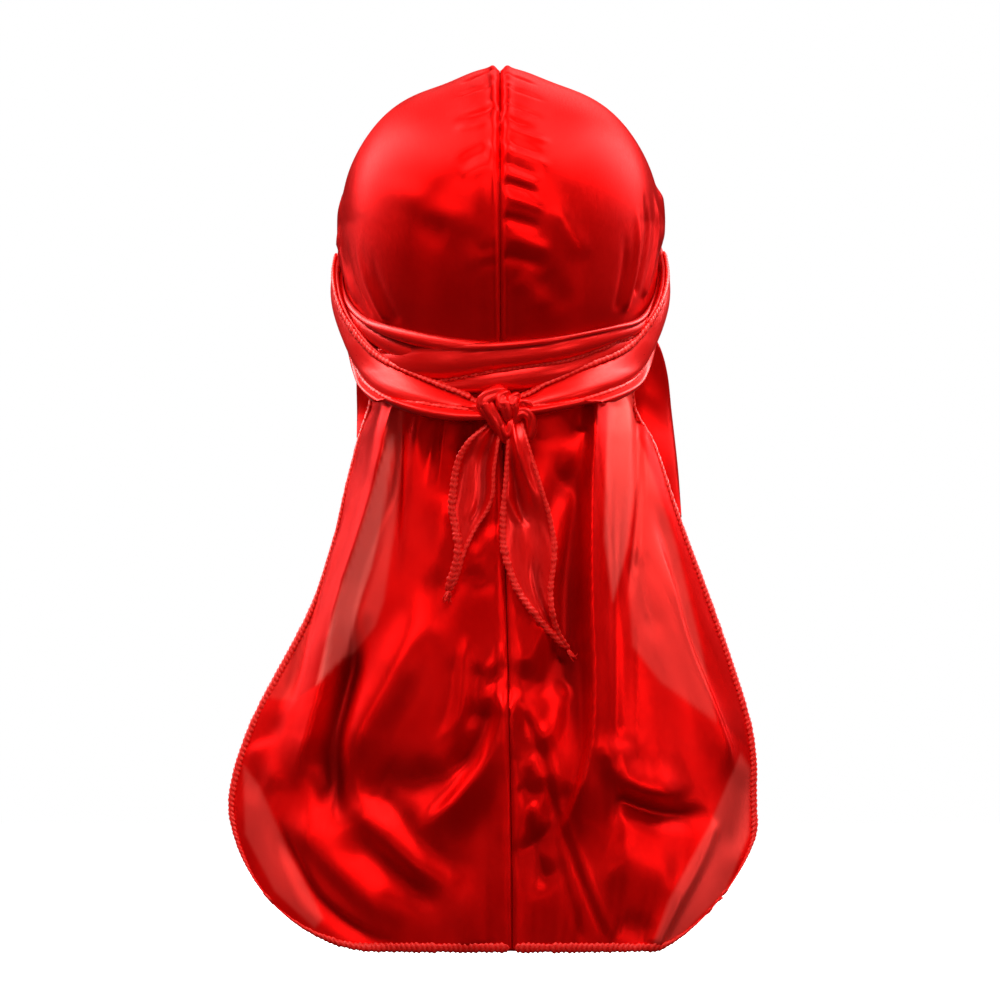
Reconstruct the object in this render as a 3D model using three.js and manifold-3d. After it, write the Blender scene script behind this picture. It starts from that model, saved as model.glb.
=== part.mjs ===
// A satin durag, shaped as it is when it is worn and tied: a crown of two panels that run on into a
// long tail, two ties that cross at the nape and at the forehead, a knot and its two loose ends.
// Millimetres, +Z up, +Y the way the wearer faces, +X the wearer's right.
// The origin is the top of the head, on the inner face of the crown.

import * as THREE from "three";
import { mergeVertices } from "three/addons/utils/BufferGeometryUtils.js";
import Module from "manifold-3d";

const { clamp, degToRad, lerp, smoothstep } = THREE.MathUtils;
const wasm = await Module();
wasm.setup();

// Cloth, folded ties and clearances
const CLOTH = 1.2;
const TIE_THICKNESS = 1.6;
const GAP = 0.4;
const TIE_SEAT = 0.65;

// The head that gives the crown its shape
const HEAD_HALF_WIDTH = 79.5;
const HEAD_BACK = 95;
const HEAD_FRONT = 92;
const CROWN_HEIGHT = 78;
const NAPE_HEIGHT = 120;
const LOWER_REACH = 1.25 * NAPE_HEIGHT;

// Level sections below the widest one: drop is a share of NAPE_HEIGHT, the rest are shares of the head
const NAPE_SECTIONS = [
  { drop: 0.0, wide: 1.0, back: 1.0, front: 1.0 },
  { drop: 0.14, wide: 0.99, back: 0.99, front: 1.0 },
  { drop: 0.33, wide: 0.955, back: 0.93, front: 0.98 },
  { drop: 0.48, wide: 0.89, back: 0.86, front: 0.95 },
  { drop: 0.61, wide: 0.83, back: 0.8, front: 0.92 },
  { drop: 0.75, wide: 0.785, back: 0.76, front: 0.88 },
  { drop: 1.0, wide: 0.74, back: 0.73, front: 0.84 },
];

// The slanting line that the ties follow round the head, and the crown's edge below it
const TIE_SIDE_DROP = 118;
const TIE_TILT = 0.49;
const RIM_BELOW_SIDE = 18;
const RIM_BELOW_FRONT = 16;

// Where the crown's edge has its front corner and where the tail's hem begins, in degrees from the nape
const FRONT_CORNER_TURN = 125;
const HEM_TURN = 78;
const HEM_TURN_FOOT = 26;

// The crown is a little pinched on both sides of the seam, and gathered along it
const TENT_DIP = 3.6;
const TENT_OFFSET = 30;
const TENT_SPREAD = 19;
const SEAM_CLEARANCE = 0.2;
const SEAM_GROOVE = 1.0;
const SEAM_GROOVE_WIDTH = 2;
const SEAM_LIP = 0.9;
const SEAM_LIP_WIDTH = 5;
const GATHERS = 10;
const GATHER_FROM = 93;
const GATHER_DEPTH = 1.3;
const GATHER_FULL_REACH = 5.2;
const GATHER_REACH = 26;
const GATHER_LEFT_SHARE = 0.6;

// The pinch grows from this drop below the top to that one, and the gathers end this far to the nape
const PINCH_STARTS = 0.8 * CROWN_HEIGHT;
const PINCH_FULL = 0.15 * CROWN_HEIGHT;
const GATHERS_END = 0.9;

// The crown's edge turns from its front corner to the hem over this share of its rows
const EDGE_TURN_STARTS = -0.2;
const EDGE_TURN_ENDS = 1.05;

// The tail
const NAPE_SEAM_DROP = 172;
const TAIL_BOTTOM_DROP = 441;
const TAIL_BLEND_DROP = 30;
const TAIL_LEFT = 135;
const TAIL_RIGHT = 127.5;
const TAIL_SEAM_SHIFT = 6;
const TAIL_SEAM_BACK = 106;
const TAIL_HEM_BACK = 86;

// The round lower corners of the tail: where they begin and end, and how square they are
const CORNERS = {
  left: { rise: 74, flat: 64, square: 1.85 },
  right: { rise: 58, flat: 77.5, square: 1.35 },
};

// Half-widths of the tail, as shares of TAIL_LEFT and TAIL_RIGHT, and down as a share of its height
const TAIL_WIDTHS = [
  { down: 0.0, left: 0.5, right: 0.545 },
  { down: 0.15, left: 0.574, right: 0.66 },
  { down: 0.3, left: 0.66, right: 0.775 },
  { down: 0.4, left: 0.74, right: 0.855 },
  { down: 0.5, left: 0.83, right: 0.925 },
  { down: 0.6, left: 0.93, right: 0.985 },
  { down: 0.73, left: 1.0, right: 1.0 },
  { down: 1.0, left: 1.0, right: 1.0 },
];

// How far behind the origin the tail hangs, as shares of TAIL_SEAM_BACK and TAIL_HEM_BACK
const TAIL_DEPTHS = [
  { down: 0.0, seam: 0.69, hem: 0.22 },
  { down: 0.15, seam: 0.76, hem: 0.42 },
  { down: 0.4, seam: 0.88, hem: 0.56 },
  { down: 0.7, seam: 0.97, hem: 0.7 },
  { down: 0.9, seam: 1.0, hem: 0.86 },
  { down: 1.0, seam: 1.0, hem: 0.92 },
];

// The tail's main folds, each from one place to another: x is a share of that side's widest half, left
// negative, and down a share of the tail's height. bow bends a fold sideways, as a share of its length.
// width and rise are shares of FOLD_WIDTH and FOLD_RISE, and a negative rise is a hollow
const FOLD_WIDTH = 11;
const FOLD_RISE = 7;
const FOLD_PIECES = 10;
const FOLD_FADE = 0.2;
const FOLD_FADE_STARTS = -0.02;
const FOLDS = [
  { name: "left_ridge", x: -0.39, down: 0.03, toX: -0.81, toDown: 0.74, bow: 0.0, width: 0.9, rise: 0.95 },
  { name: "left_hollow", x: -0.35, down: 0.02, toX: -0.36, toDown: 0.24, bow: 0.0, width: 0.6, rise: -0.5 },
  { name: "left_pleat", x: -0.25, down: 0.02, toX: -0.27, toDown: 0.24, bow: 0.0, width: 0.8, rise: 0.6 },
  { name: "left_hill", x: -0.32, down: 0.42, toX: -0.57, toDown: 0.69, bow: -0.05, width: 1.0, rise: 0.9 },
  { name: "left_gully", x: -0.42, down: 0.42, toX: -0.6, toDown: 0.78, bow: 0.07, width: 0.8, rise: -0.6 },
  { name: "left_pocket", x: -0.47, down: 0.75, toX: -0.15, toDown: 0.72, bow: 0.0, width: 1.0, rise: -0.7 },
  { name: "left_knee", x: -0.57, down: 0.72, toX: -0.18, toDown: 0.91, bow: -0.04, width: 1.0, rise: 0.6 },
  { name: "left_sweep", x: -0.79, down: 0.75, toX: -0.25, toDown: 0.97, bow: 0.06, width: 1.0, rise: 0.8 },
  { name: "left_arc", x: -0.01, down: 0.52, toX: -0.32, toDown: 0.78, bow: 0.14, width: 0.9, rise: 0.95 },
  { name: "left_rib", x: -0.13, down: 0.4, toX: -0.12, toDown: 0.62, bow: 0.0, width: 0.7, rise: 0.4 },
  { name: "right_edge", x: 0.345, down: 0.01, toX: 0.372, toDown: 0.56, bow: 0.0, width: 0.8, rise: 1.0 },
  { name: "right_foot", x: 0.375, down: 0.52, toX: 0.235, toDown: 0.8, bow: 0.08, width: 0.8, rise: 0.9 },
  { name: "right_hollow", x: 0.27, down: 0.04, toX: 0.28, toDown: 0.74, bow: 0.0, width: 0.7, rise: -0.7 },
  { name: "right_slant", x: 0.27, down: 0.1, toX: 0.06, toDown: 0.54, bow: 0.05, width: 1.0, rise: 0.5 },
  { name: "right_drop", x: 0.24, down: 0.52, toX: 0.14, toDown: 0.67, bow: 0.0, width: 0.8, rise: 0.6 },
  { name: "right_pleat", x: 0.54, down: 0.02, toX: 0.47, toDown: 0.58, bow: 0.0, width: 0.7, rise: -0.5 },
  { name: "right_ridge", x: 0.62, down: 0.1, toX: 0.9, toDown: 0.69, bow: 0.05, width: 0.9, rise: 0.8 },
  { name: "right_fan", x: 0.5, down: 0.52, toX: 0.8, toDown: 0.68, bow: 0.03, width: 0.8, rise: 0.5 },
  { name: "right_swag", x: 0.46, down: 0.64, toX: 0.84, toDown: 0.73, bow: 0.04, width: 0.9, rise: 0.75 },
  { name: "right_crease", x: 0.43, down: 0.71, toX: 0.8, toDown: 0.79, bow: 0.0, width: 0.7, rise: -0.6 },
];

// One tie's way round the head. turn is in degrees from the nape, negative on the tie's own side and
// past 180 on the way back. rise is its distance above the slanting line, as a share of TIE_WIDTH.
// Layers are counted from the crown outwards
const TIE_WIDTH = 24;
const HELD_ABOVE = 0.8;
const HELD_BELOW = 1.3;
const HELD_FADE = 0.5;
const TIE_TRACK = [
  { turn: -97, riseLeft: -0.38, riseRight: -0.38, width: 0.7, layerLeft: 1, layerRight: 1 },
  { turn: -80, riseLeft: -0.38, riseRight: -0.38, width: 0.68, layerLeft: 1, layerRight: 1 },
  { turn: -64, riseLeft: -0.37, riseRight: -0.37, width: 0.7, layerLeft: 1, layerRight: 2 },
  { turn: -48, riseLeft: -0.2, riseRight: -0.2, width: 0.8, layerLeft: 1, layerRight: 2 },
  { turn: 0, riseLeft: 0.25, riseRight: 0.25, width: 1.0, layerLeft: 1, layerRight: 2 },
  { turn: 48, riseLeft: 0.38, riseRight: 0.38, width: 0.8, layerLeft: 1, layerRight: 2 },
  { turn: 64, riseLeft: 0.42, riseRight: 0.42, width: 0.7, layerLeft: 1, layerRight: 2 },
  { turn: 80, riseLeft: 0.4, riseRight: 0.4, width: 0.7, layerLeft: 1, layerRight: 1 },
  { turn: 98, riseLeft: 0.36, riseRight: 0.36, width: 0.66, layerLeft: 1, layerRight: 1 },
  { turn: 120, riseLeft: -0.36, riseRight: -0.36, width: 0.64, layerLeft: 1, layerRight: 1 },
  { turn: 134, riseLeft: -0.36, riseRight: -0.36, width: 0.64, layerLeft: 1, layerRight: 2 },
  { turn: 150, riseLeft: -0.2, riseRight: -0.2, width: 0.8, layerLeft: 1, layerRight: 2 },
  { turn: 180, riseLeft: 0.0, riseRight: 0.0, width: 0.9, layerLeft: 1, layerRight: 2 },
  { turn: 210, riseLeft: 0.38, riseRight: 0.38, width: 0.75, layerLeft: 1, layerRight: 2 },
  { turn: 226, riseLeft: 0.42, riseRight: 0.42, width: 0.7, layerLeft: 1, layerRight: 2 },
  { turn: 240, riseLeft: 0.42, riseRight: 0.5, width: 0.72, layerLeft: 2, layerRight: 2 },
  { turn: 252, riseLeft: 0.3, riseRight: 0.52, width: 0.85, layerLeft: 2, layerRight: 2 },
  { turn: 270, riseLeft: 0.12, riseRight: 0.46, width: 0.95, layerLeft: 2, layerRight: 2 },
  { turn: 290, riseLeft: 0.0, riseRight: 0.2, width: 0.95, layerLeft: 3, layerRight: 2.6 },
  { turn: 310, riseLeft: -0.33, riseRight: -0.2, width: 0.85, layerLeft: 3, layerRight: 3 },
  { turn: 335, riseLeft: -0.54, riseRight: -0.5, width: 0.7, layerLeft: 3, layerRight: 3 },
  { turn: 358, riseLeft: -0.58, riseRight: -0.58, width: 0.55, layerLeft: 3, layerRight: 3 },
];

// A tie's section: its folded cloth stands higher along its pleats. across is a share of the width
const TIE_PLEATS = [
  { across: -0.5, thick: 0.7 },
  { across: -0.27, thick: 1.0 },
  { across: -0.05, thick: 0.7 },
  { across: 0.22, thick: 1.0 },
  { across: 0.5, thick: 0.7 },
];

// The knot: a core, the strand that wraps round it and a small loop below
const KNOT_X = 3;
const KNOT_DROP = 175;
const KNOT_HALF_WIDTH = 10;
const KNOT_HALF_HEIGHT = 12;
const KNOT_HALF_DEPTH = 8.5;
const KNOT_STRAND = 4;
const KNOT_STRAND_MARGIN = 1.5;
const KNOT_WRAP_X = 3.5;
const KNOT_WRAP_OUT = 1.6;
const KNOT_LOOP_X = 6.2;
const KNOT_LOOP_DROP = 7.44;
const KNOT_LOOP_HALF_WIDTH = 4.2;
const KNOT_LOOP_HALF_DEPTH = 6.8;
const KNOT_LOOP_HALF_HEIGHT = 7.2;

// The loose ends of the ties: their lengths, their greatest width and their outlines. Across and the
// edges are shares of END_WIDTH from the knot's middle, and lift is a share of END_LIFT off the tail
const END_LEFT_LENGTH = 93;
const END_RIGHT_LENGTH = 118;
const END_WIDTH = 27;
const END_LIFT = 11;
const END_BOW = 0.25;
const END_DROP = 178.6;
const END_LEFT = [
  { along: 0.0, from: -0.2, to: 0.0, lift: 0.6 },
  { along: 0.1, from: -0.5, to: -0.12, lift: 1.0 },
  { along: 0.3, from: -0.93, to: -0.19, lift: 0.75 },
  { along: 0.52, from: -1.03, to: -0.26, lift: 0.5 },
  { along: 0.74, from: -1.0, to: -0.64, lift: 0.35 },
  { along: 0.88, from: -0.97, to: -0.82, lift: 0.25 },
  { along: 1.0, from: -1.13, to: -1.06, lift: 0.2 },
];
const END_RIGHT = [
  { along: 0.0, from: 0.0, to: 0.15, lift: 0.6 },
  { along: 0.13, from: 0.0, to: 0.3, lift: 1.0 },
  { along: 0.28, from: -0.07, to: 0.53, lift: 0.8 },
  { along: 0.45, from: -0.11, to: 0.78, lift: 0.6 },
  { along: 0.62, from: -0.09, to: 0.91, lift: 0.45 },
  { along: 0.75, from: 0.04, to: 0.91, lift: 0.35 },
  { along: 0.87, from: 0.35, to: 0.95, lift: 0.3 },
  { along: 0.95, from: 0.81, to: 0.98, lift: 0.25 },
  { along: 1.0, from: 1.09, to: 1.15, lift: 0.2 },
];

// How finely the solids are faceted
const COLUMNS = 16;
const SEAM_CROWDING = 1.3;
const FRONT_ROWS = 6;
const TAIL_ROWS = 34;
const CROWDING_FADE = 0.3;
const TIE_STEPS = 68;
const END_STEPS = 14;
const END_COLUMNS = 4;
const KNOT_SEGMENTS = 14;
const KNOT_WRAP_SEGMENTS = 6;
const KNOT_LOOP_SEGMENTS = 10;
const RINGS_PER_SEGMENT = 0.6;

// A height that depends on its own place is found in this many steps
const SETTLING_STEPS = 8;

// Each piece is drawn in its own shade of the same red
const SHADES = {
  panel_left: 1,
  panel_right: 0.95,
  tie_left: 0.9,
  tie_right: 0.85,
  knot: 0.8,
  tie_end_left: 0.9,
  tie_end_right: 0.85,
};

// The value of one column of a table, on a smooth curve through the rows
function read(table, key, at, column) {
  let row = 0;
  while (row < table.length - 2 && at > table[row + 1][key]) row += 1;
  const low = table[row];
  const high = table[row + 1];
  const before = table[Math.max(row - 1, 0)];
  const after = table[Math.min(row + 2, table.length - 1)];
  const step = high[key] - low[key];
  const t = clamp((at - low[key]) / step, 0, 1);
  const leave = (step * (high[column] - before[column])) / (high[key] - before[key]);
  const arrive = (step * (after[column] - low[column])) / (after[key] - low[key]);
  const rest = 1 - t;
  const ends = low[column] * rest * rest * (1 + 2 * t) + high[column] * t * t * (3 - 2 * t);
  return ends + leave * t * rest * rest - arrive * t * t * rest;
}

// How far down the tail a height is, as a share
function tailShare(z) {
  return clamp((-z - NAPE_SEAM_DROP) / (TAIL_BOTTOM_DROP - NAPE_SEAM_DROP), 0, 1);
}

// The turn, from the seam, at which a level section of the tail ends in its hem
function hemTurn(z) {
  return degToRad(lerp(HEM_TURN, HEM_TURN_FOOT, Math.sin((tailShare(z) * Math.PI) / 2)));
}

function seamX(z) {
  return TAIL_SEAM_SHIFT * smoothstep(-z, CROWN_HEIGHT, TAIL_BOTTOM_DROP);
}

// Half-axes of a level section of the head
function headSection(z) {
  if (z > -CROWN_HEIGHT) {
    const share = Math.sqrt(Math.max(0, 1 - ((z + CROWN_HEIGHT) / CROWN_HEIGHT) ** 2));
    return { wide: HEAD_HALF_WIDTH * share, back: HEAD_BACK * share, front: HEAD_FRONT * share };
  }
  const drop = (-z - CROWN_HEIGHT) / NAPE_HEIGHT;
  return {
    wide: HEAD_HALF_WIDTH * read(NAPE_SECTIONS, "drop", drop, "wide"),
    back: HEAD_BACK * read(NAPE_SECTIONS, "drop", drop, "back"),
    front: HEAD_FRONT * read(NAPE_SECTIONS, "drop", drop, "front"),
  };
}

// A level section of the tail is part of an ellipse, from the seam to the hem
function tailSection(side, z) {
  const down = tailShare(z);
  const turn = hemTurn(z);
  const half = side < 0 ? TAIL_LEFT * read(TAIL_WIDTHS, "down", down, "left")
    : TAIL_RIGHT * read(TAIL_WIDTHS, "down", down, "right");
  const seamBack = TAIL_SEAM_BACK * read(TAIL_DEPTHS, "down", down, "seam");
  const hemBack = TAIL_HEM_BACK * read(TAIL_DEPTHS, "down", down, "hem");
  const depth = (seamBack - hemBack) / (1 - Math.cos(turn));
  return { wide: (half - side * seamX(z)) / Math.sin(turn), depth, middle: seamBack - depth };
}

// A point of the inner face of the cloth, at a turn from the seam on one side and a height
function skin(side, turn, z) {
  const head = headSection(z);
  const across = Math.sin(turn);
  const back = Math.cos(turn);
  const toTail = smoothstep(-z, NAPE_SEAM_DROP - TAIL_BLEND_DROP, NAPE_SEAM_DROP + TAIL_BLEND_DROP / 2);
  const tail = tailSection(side, z);
  const wide = lerp(head.wide, tail.wide, toTail);
  const headY = -back * (back > 0 ? head.back : head.front);
  const y = lerp(headY, -tail.middle - tail.depth * back, toTail);
  return new THREE.Vector3(seamX(z) + side * (wide * across + SEAM_CLEARANCE), y, z);
}

// The same face at a distance across X, for what lies on the tail
function skinAcross(x, z) {
  const side = x < seamX(z) ? -1 : 1;
  const wide = skin(side, Math.PI / 2, z).x - seamX(z);
  return { side, turn: Math.asin(clamp((x - seamX(z)) / wide, -1, 1)) };
}

function skinNormal(side, turn, z) {
  const step = 0.01;
  const across = skin(side, turn + step, z).sub(skin(side, turn - step, z));
  const up = skin(side, turn, z + 1).sub(skin(side, turn, z - 1));
  return across.cross(up).multiplyScalar(side).normalize();
}

// The length of the cloth from the seam to the hem at one height
function halfLength(side, z) {
  const pieces = 8;
  let length = 0;
  for (let i = 0; i < pieces; i += 1) {
    const from = skin(side, (hemTurn(z) * i) / pieces, z);
    length += from.distanceTo(skin(side, (hemTurn(z) * (i + 1)) / pieces, z));
  }
  return length;
}

// A fold's centre line on the unrolled cloth: distance from the seam, and height
function foldLine(fold) {
  const side = fold.toX < 0 ? -1 : 1;
  const half = side < 0 ? TAIL_LEFT : TAIL_RIGHT;
  const height = TAIL_BOTTOM_DROP - NAPE_SEAM_DROP;
  const from = new THREE.Vector2(fold.x * half, -NAPE_SEAM_DROP - fold.down * height);
  const to = new THREE.Vector2(fold.toX * half, -NAPE_SEAM_DROP - fold.toDown * height);
  const run = to.clone().sub(from);
  const bend = new THREE.Vector2(-run.y, run.x).multiplyScalar(2 * fold.bow);
  const middle = from.clone().lerp(to, 0.5).add(bend);
  const curve = new THREE.QuadraticBezierCurve(from, middle, to);
  return curve.getPoints(FOLD_PIECES).map((point) => {
    const place = skinAcross(point.x, point.y);
    return new THREE.Vector2((place.turn / hemTurn(point.y)) * halfLength(side, point.y) * side, point.y);
  });
}

const FOLD_LINES = FOLDS.map((fold) => ({ ...fold, side: fold.toX < 0 ? -1 : 1, line: foldLine(fold) }));

// How far the folds lift the cloth at a place on the unrolled tail
function foldRelief(side, across, z) {
  const place = new THREE.Vector3(across, z, 0);
  const nearest = new THREE.Vector3();
  let relief = 0;
  for (const fold of FOLD_LINES.filter((one) => one.side === side)) {
    let distance = Infinity;
    let along = 0;
    for (let i = 0; i < fold.line.length - 1; i += 1) {
      const a = fold.line[i];
      const b = fold.line[i + 1];
      const stretch = new THREE.Line3(new THREE.Vector3(a.x, a.y, 0), new THREE.Vector3(b.x, b.y, 0));
      stretch.closestPointToPoint(place, true, nearest);
      const reach = nearest.distanceTo(place);
      if (reach < distance) {
        distance = reach;
        along = (i + a.distanceTo(nearest) / a.distanceTo(b)) / (fold.line.length - 1);
      }
    }
    const fade = smoothstep(Math.min(along, 1 - along), FOLD_FADE_STARTS, FOLD_FADE);
    const profile = 1 - smoothstep(distance / (fold.width * FOLD_WIDTH), 0, 1);
    relief += fold.rise * FOLD_RISE * fade * profile;
  }
  return relief * smoothstep(-z, NAPE_SEAM_DROP + TAIL_BLEND_DROP / 4, NAPE_SEAM_DROP + TAIL_BLEND_DROP);
}

// How free the cloth is of the ties that hold it flat, from 0 under them to 1 well above or below
function freeShare(point) {
  const above = (point.z + TIE_SIDE_DROP - TIE_TILT * point.y) / TIE_WIDTH;
  if (above > 0) return smoothstep(above, HELD_ABOVE, HELD_ABOVE + HELD_FADE);
  return smoothstep(-above, HELD_BELOW, HELD_BELOW + HELD_FADE);
}

// How far the crown's seam, pinch and gathers lift the cloth
function crownRelief(side, point, gather) {
  const across = Math.abs(point.x - seamX(point.z));
  const top = smoothstep(point.z, -PINCH_STARTS, -PINCH_FULL);
  const pinch = -TENT_DIP * top * Math.exp(-(((across - TENT_OFFSET) / TENT_SPREAD) ** 2));
  const groove = -SEAM_GROOVE * Math.exp(-((across / SEAM_GROOVE_WIDTH) ** 2));
  const lip = SEAM_LIP * Math.exp(-((across / SEAM_LIP_WIDTH - 1) ** 2));
  const strength = side < 0 ? GATHER_LEFT_SHARE : 1;
  const near = 1 - smoothstep(across, GATHER_FULL_REACH, GATHER_REACH);
  const pleat = gather * strength * GATHER_DEPTH * near;
  return pinch + groove + (lip + pleat) * freeShare(point);
}

// The height of the crown's edge at a turn from the nape
function rimHeight(turn) {
  const front = smoothstep(turn, Math.PI / 2, Math.PI);
  const below = lerp(RIM_BELOW_SIDE, RIM_BELOW_FRONT, front);
  let z = -TIE_SIDE_DROP;
  for (let i = 0; i < SETTLING_STEPS; i += 1) {
    z = -TIE_SIDE_DROP + TIE_TILT * skin(1, turn, z).y - below;
  }
  return z;
}

// Places on the head are spread over it as directions on a ball
function toDirection(turn, z) {
  const reach = z > -CROWN_HEIGHT ? CROWN_HEIGHT : LOWER_REACH;
  const up = (z + CROWN_HEIGHT) / reach;
  const level = Math.sqrt(1 - up * up);
  return new THREE.Vector3(level * Math.sin(turn), -level * Math.cos(turn), up);
}

function toPlace(direction) {
  const reach = direction.z > 0 ? CROWN_HEIGHT : LOWER_REACH;
  return { turn: Math.atan2(direction.x, -direction.y), z: -CROWN_HEIGHT + reach * direction.z };
}

// Rows of the crown run from the seam to the crown's edge, each an arc over the head
function crownRows() {
  const rows = [];
  const front = toDirection(Math.PI, rimHeight(Math.PI));
  const nape = toDirection(0, -NAPE_SEAM_DROP);
  const frontAngle = Math.asin(front.z);
  const napeAngle = Math.PI - Math.asin(nape.z);
  const topAngle = degToRad(GATHER_FROM);
  const count = FRONT_ROWS + 2 * GATHERS;
  for (let i = 0; i <= count; i += 1) {
    const behind = (i - FRONT_ROWS) / (2 * GATHERS);
    const angle = behind < 0 ? lerp(frontAngle, topAngle, i / FRONT_ROWS) : lerp(topAngle, napeAngle, behind);
    const seam = new THREE.Vector3(0, Math.cos(angle), Math.sin(angle));
    const turned = i === count ? 1 : smoothstep(i / count, EDGE_TURN_STARTS, EDGE_TURN_ENDS);
    const turn = degToRad(lerp(FRONT_CORNER_TURN, HEM_TURN, turned));
    const edge = toDirection(turn, rimHeight(turn));
    const gather = behind > 0 && behind < GATHERS_END ? Math.cos(Math.PI * (i - FRONT_ROWS)) : 0;
    const between = seam.angleTo(edge);
    const row = [];
    for (let j = 0; j <= COLUMNS; j += 1) {
      const v = (j / COLUMNS) ** SEAM_CROWDING;
      const near = seam.clone().multiplyScalar(Math.sin((1 - v) * between));
      const place = toPlace(near.addScaledVector(edge, Math.sin(v * between)).normalize());
      row.push({ ...place, gather });
    }
    rows.push(row);
  }
  return rows;
}

// A place on the tail as a share of the turn to its hem, and a height
function tailPlace(x, z) {
  return new THREE.Vector2(skinAcross(x, z).turn / hemTurn(z), z);
}

// The tail's outline on one side: down the hem to the middle of the round corner, and from the seam's
// foot to the same point
function tailEdges(side, hemTop) {
  const corner = side < 0 ? CORNERS.left : CORNERS.right;
  const half = side < 0 ? TAIL_LEFT : TAIL_RIGHT;
  const cornerZ = corner.rise - TAIL_BOTTOM_DROP;
  const power = 2 / corner.square;
  const round = (angle) => {
    const x = corner.flat + (half - corner.flat) * Math.cos(angle) ** power;
    return tailPlace(side * x, cornerZ - corner.rise * Math.sin(angle) ** power);
  };
  const halfBow = (Math.PI / 8) * (half - corner.flat + corner.rise);
  const straight = hemTop - cornerZ;
  const run = corner.flat - side * seamX(-TAIL_BOTTOM_DROP);
  const hem = (t) => {
    const walked = t * (straight + halfBow) - straight;
    return walked < 0 ? new THREE.Vector2(1, cornerZ - walked) : round(((walked / halfBow) * Math.PI) / 4);
  };
  const foot = (v) => {
    const left = run + halfBow - v * (run + halfBow);
    if (left < halfBow) return round(((1 + left / halfBow) * Math.PI) / 4);
    return tailPlace(side * (corner.flat + halfBow - left), -TAIL_BOTTOM_DROP);
  };
  return { hem, foot };
}

// Rows of the tail, spread between its four edges
function tailRows(side, top) {
  const rows = [];
  const { hem, foot } = tailEdges(side, top[COLUMNS].z);
  const first = top.map((place) => new THREE.Vector2(place.turn / hemTurn(place.z), place.z));
  const seamFoot = foot(0);
  const cornerEnd = hem(1);
  for (let i = 1; i <= TAIL_ROWS; i += 1) {
    const t = i / TAIL_ROWS;
    const seam = first[0].clone().lerp(seamFoot, t);
    const edge = hem(t);
    const row = [];
    for (let j = 0; j <= COLUMNS; j += 1) {
      const v = (j / COLUMNS) ** lerp(SEAM_CROWDING, 1, smoothstep(t, 0, CROWDING_FADE));
      const column = first[j].clone().lerp(foot(v), t);
      const sides = seam.clone().lerp(edge, v);
      const ends = first[0].clone().lerp(first[COLUMNS], v).lerp(seamFoot.clone().lerp(cornerEnd, v), t);
      const place = column.add(sides).sub(ends);
      row.push({ turn: place.x * hemTurn(place.y), z: place.y, gather: 0 });
    }
    rows.push(row);
  }
  return rows;
}

// The way out of a grid of points, at each of them
function gridNormals(grid, flip) {
  const normals = [];
  for (let i = 0; i < grid.length; i += 1) {
    const row = grid[i];
    const above = grid[Math.max(i - 1, 0)];
    const below = grid[Math.min(i + 1, grid.length - 1)];
    const normalRow = [];
    for (let j = 0; j < row.length; j += 1) {
      const down = below[j].clone().sub(above[j]);
      const across = row[Math.min(j + 1, row.length - 1)].clone().sub(row[Math.max(j - 1, 0)]);
      normalRow.push(down.cross(across).multiplyScalar(flip).normalize());
    }
    normals.push(normalRow);
  }
  return normals;
}

// A grid whose points are moved along their normals, each by its own distance
function moveAlong(grid, normals, distance) {
  const moveRow = (row, i) => row.map((point, j) => (
    point.clone().addScaledVector(normals[i][j], distance(i, j))));
  return grid.map(moveRow);
}

// A closed wall between two grids of points
function wallGeometry(inner, outer) {
  const rows = inner.length;
  const columns = inner[0].length;
  const positions = [];
  const triangles = [];
  for (const point of [...inner.flat(), ...outer.flat()]) positions.push(point.x, point.y, point.z);
  const at = (face, i, j) => face * rows * columns + i * columns + j;
  const quad = (a, b, c, d) => triangles.push(a, b, c, a, c, d);
  for (let i = 0; i < rows - 1; i += 1) {
    for (let j = 0; j < columns - 1; j += 1) {
      quad(at(0, i, j), at(0, i, j + 1), at(0, i + 1, j + 1), at(0, i + 1, j));
      quad(at(1, i, j), at(1, i + 1, j), at(1, i + 1, j + 1), at(1, i, j + 1));
    }
  }
  for (let i = 0; i < rows - 1; i += 1) {
    quad(at(0, i, 0), at(0, i + 1, 0), at(1, i + 1, 0), at(1, i, 0));
    quad(at(1, i, columns - 1), at(1, i + 1, columns - 1), at(0, i + 1, columns - 1), at(0, i, columns - 1));
  }
  for (let j = 0; j < columns - 1; j += 1) {
    quad(at(1, 0, j), at(1, 0, j + 1), at(0, 0, j + 1), at(0, 0, j));
    quad(at(0, rows - 1, j), at(0, rows - 1, j + 1), at(1, rows - 1, j + 1), at(1, rows - 1, j));
  }
  return closedGeometry(positions, triangles);
}

// Turns every triangle round if they face inwards
function closedGeometry(positions, triangles) {
  let volume = 0;
  const corner = (index) => new THREE.Vector3().fromArray(positions, 3 * index);
  for (let i = 0; i < triangles.length; i += 3) {
    const a = corner(triangles[i]);
    volume += a.dot(corner(triangles[i + 1]).cross(corner(triangles[i + 2])));
  }
  if (volume < 0) triangles.reverse();
  const geometry = new THREE.BufferGeometry();
  geometry.setAttribute("position", new THREE.Float32BufferAttribute(positions, 3));
  geometry.setIndex(triangles);
  return geometry;
}

// One half of the crown and the tail below it, in a single panel
function panelGeometry(side) {
  const crown = crownRows();
  const places = [...crown, ...tailRows(side, crown[crown.length - 1])];
  const base = places.map((row) => row.map((place) => skin(side, place.turn, place.z)));
  const reliefs = places.map((row, i) => row.map((place, j) => {
    const across = (place.turn / hemTurn(place.z)) * halfLength(side, place.z) * side;
    const folds = i < crown.length ? 0 : foldRelief(side, across, place.z);
    return folds + crownRelief(side, base[i][j], place.gather);
  }));
  const inner = moveAlong(base, gridNormals(base, side), (i, j) => reliefs[i][j]);
  alignSeam(inner, side);
  const outer = moveAlong(inner, gridNormals(inner, side), () => CLOTH);
  alignSeam(outer, side);
  return wallGeometry(inner, outer);
}

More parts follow.
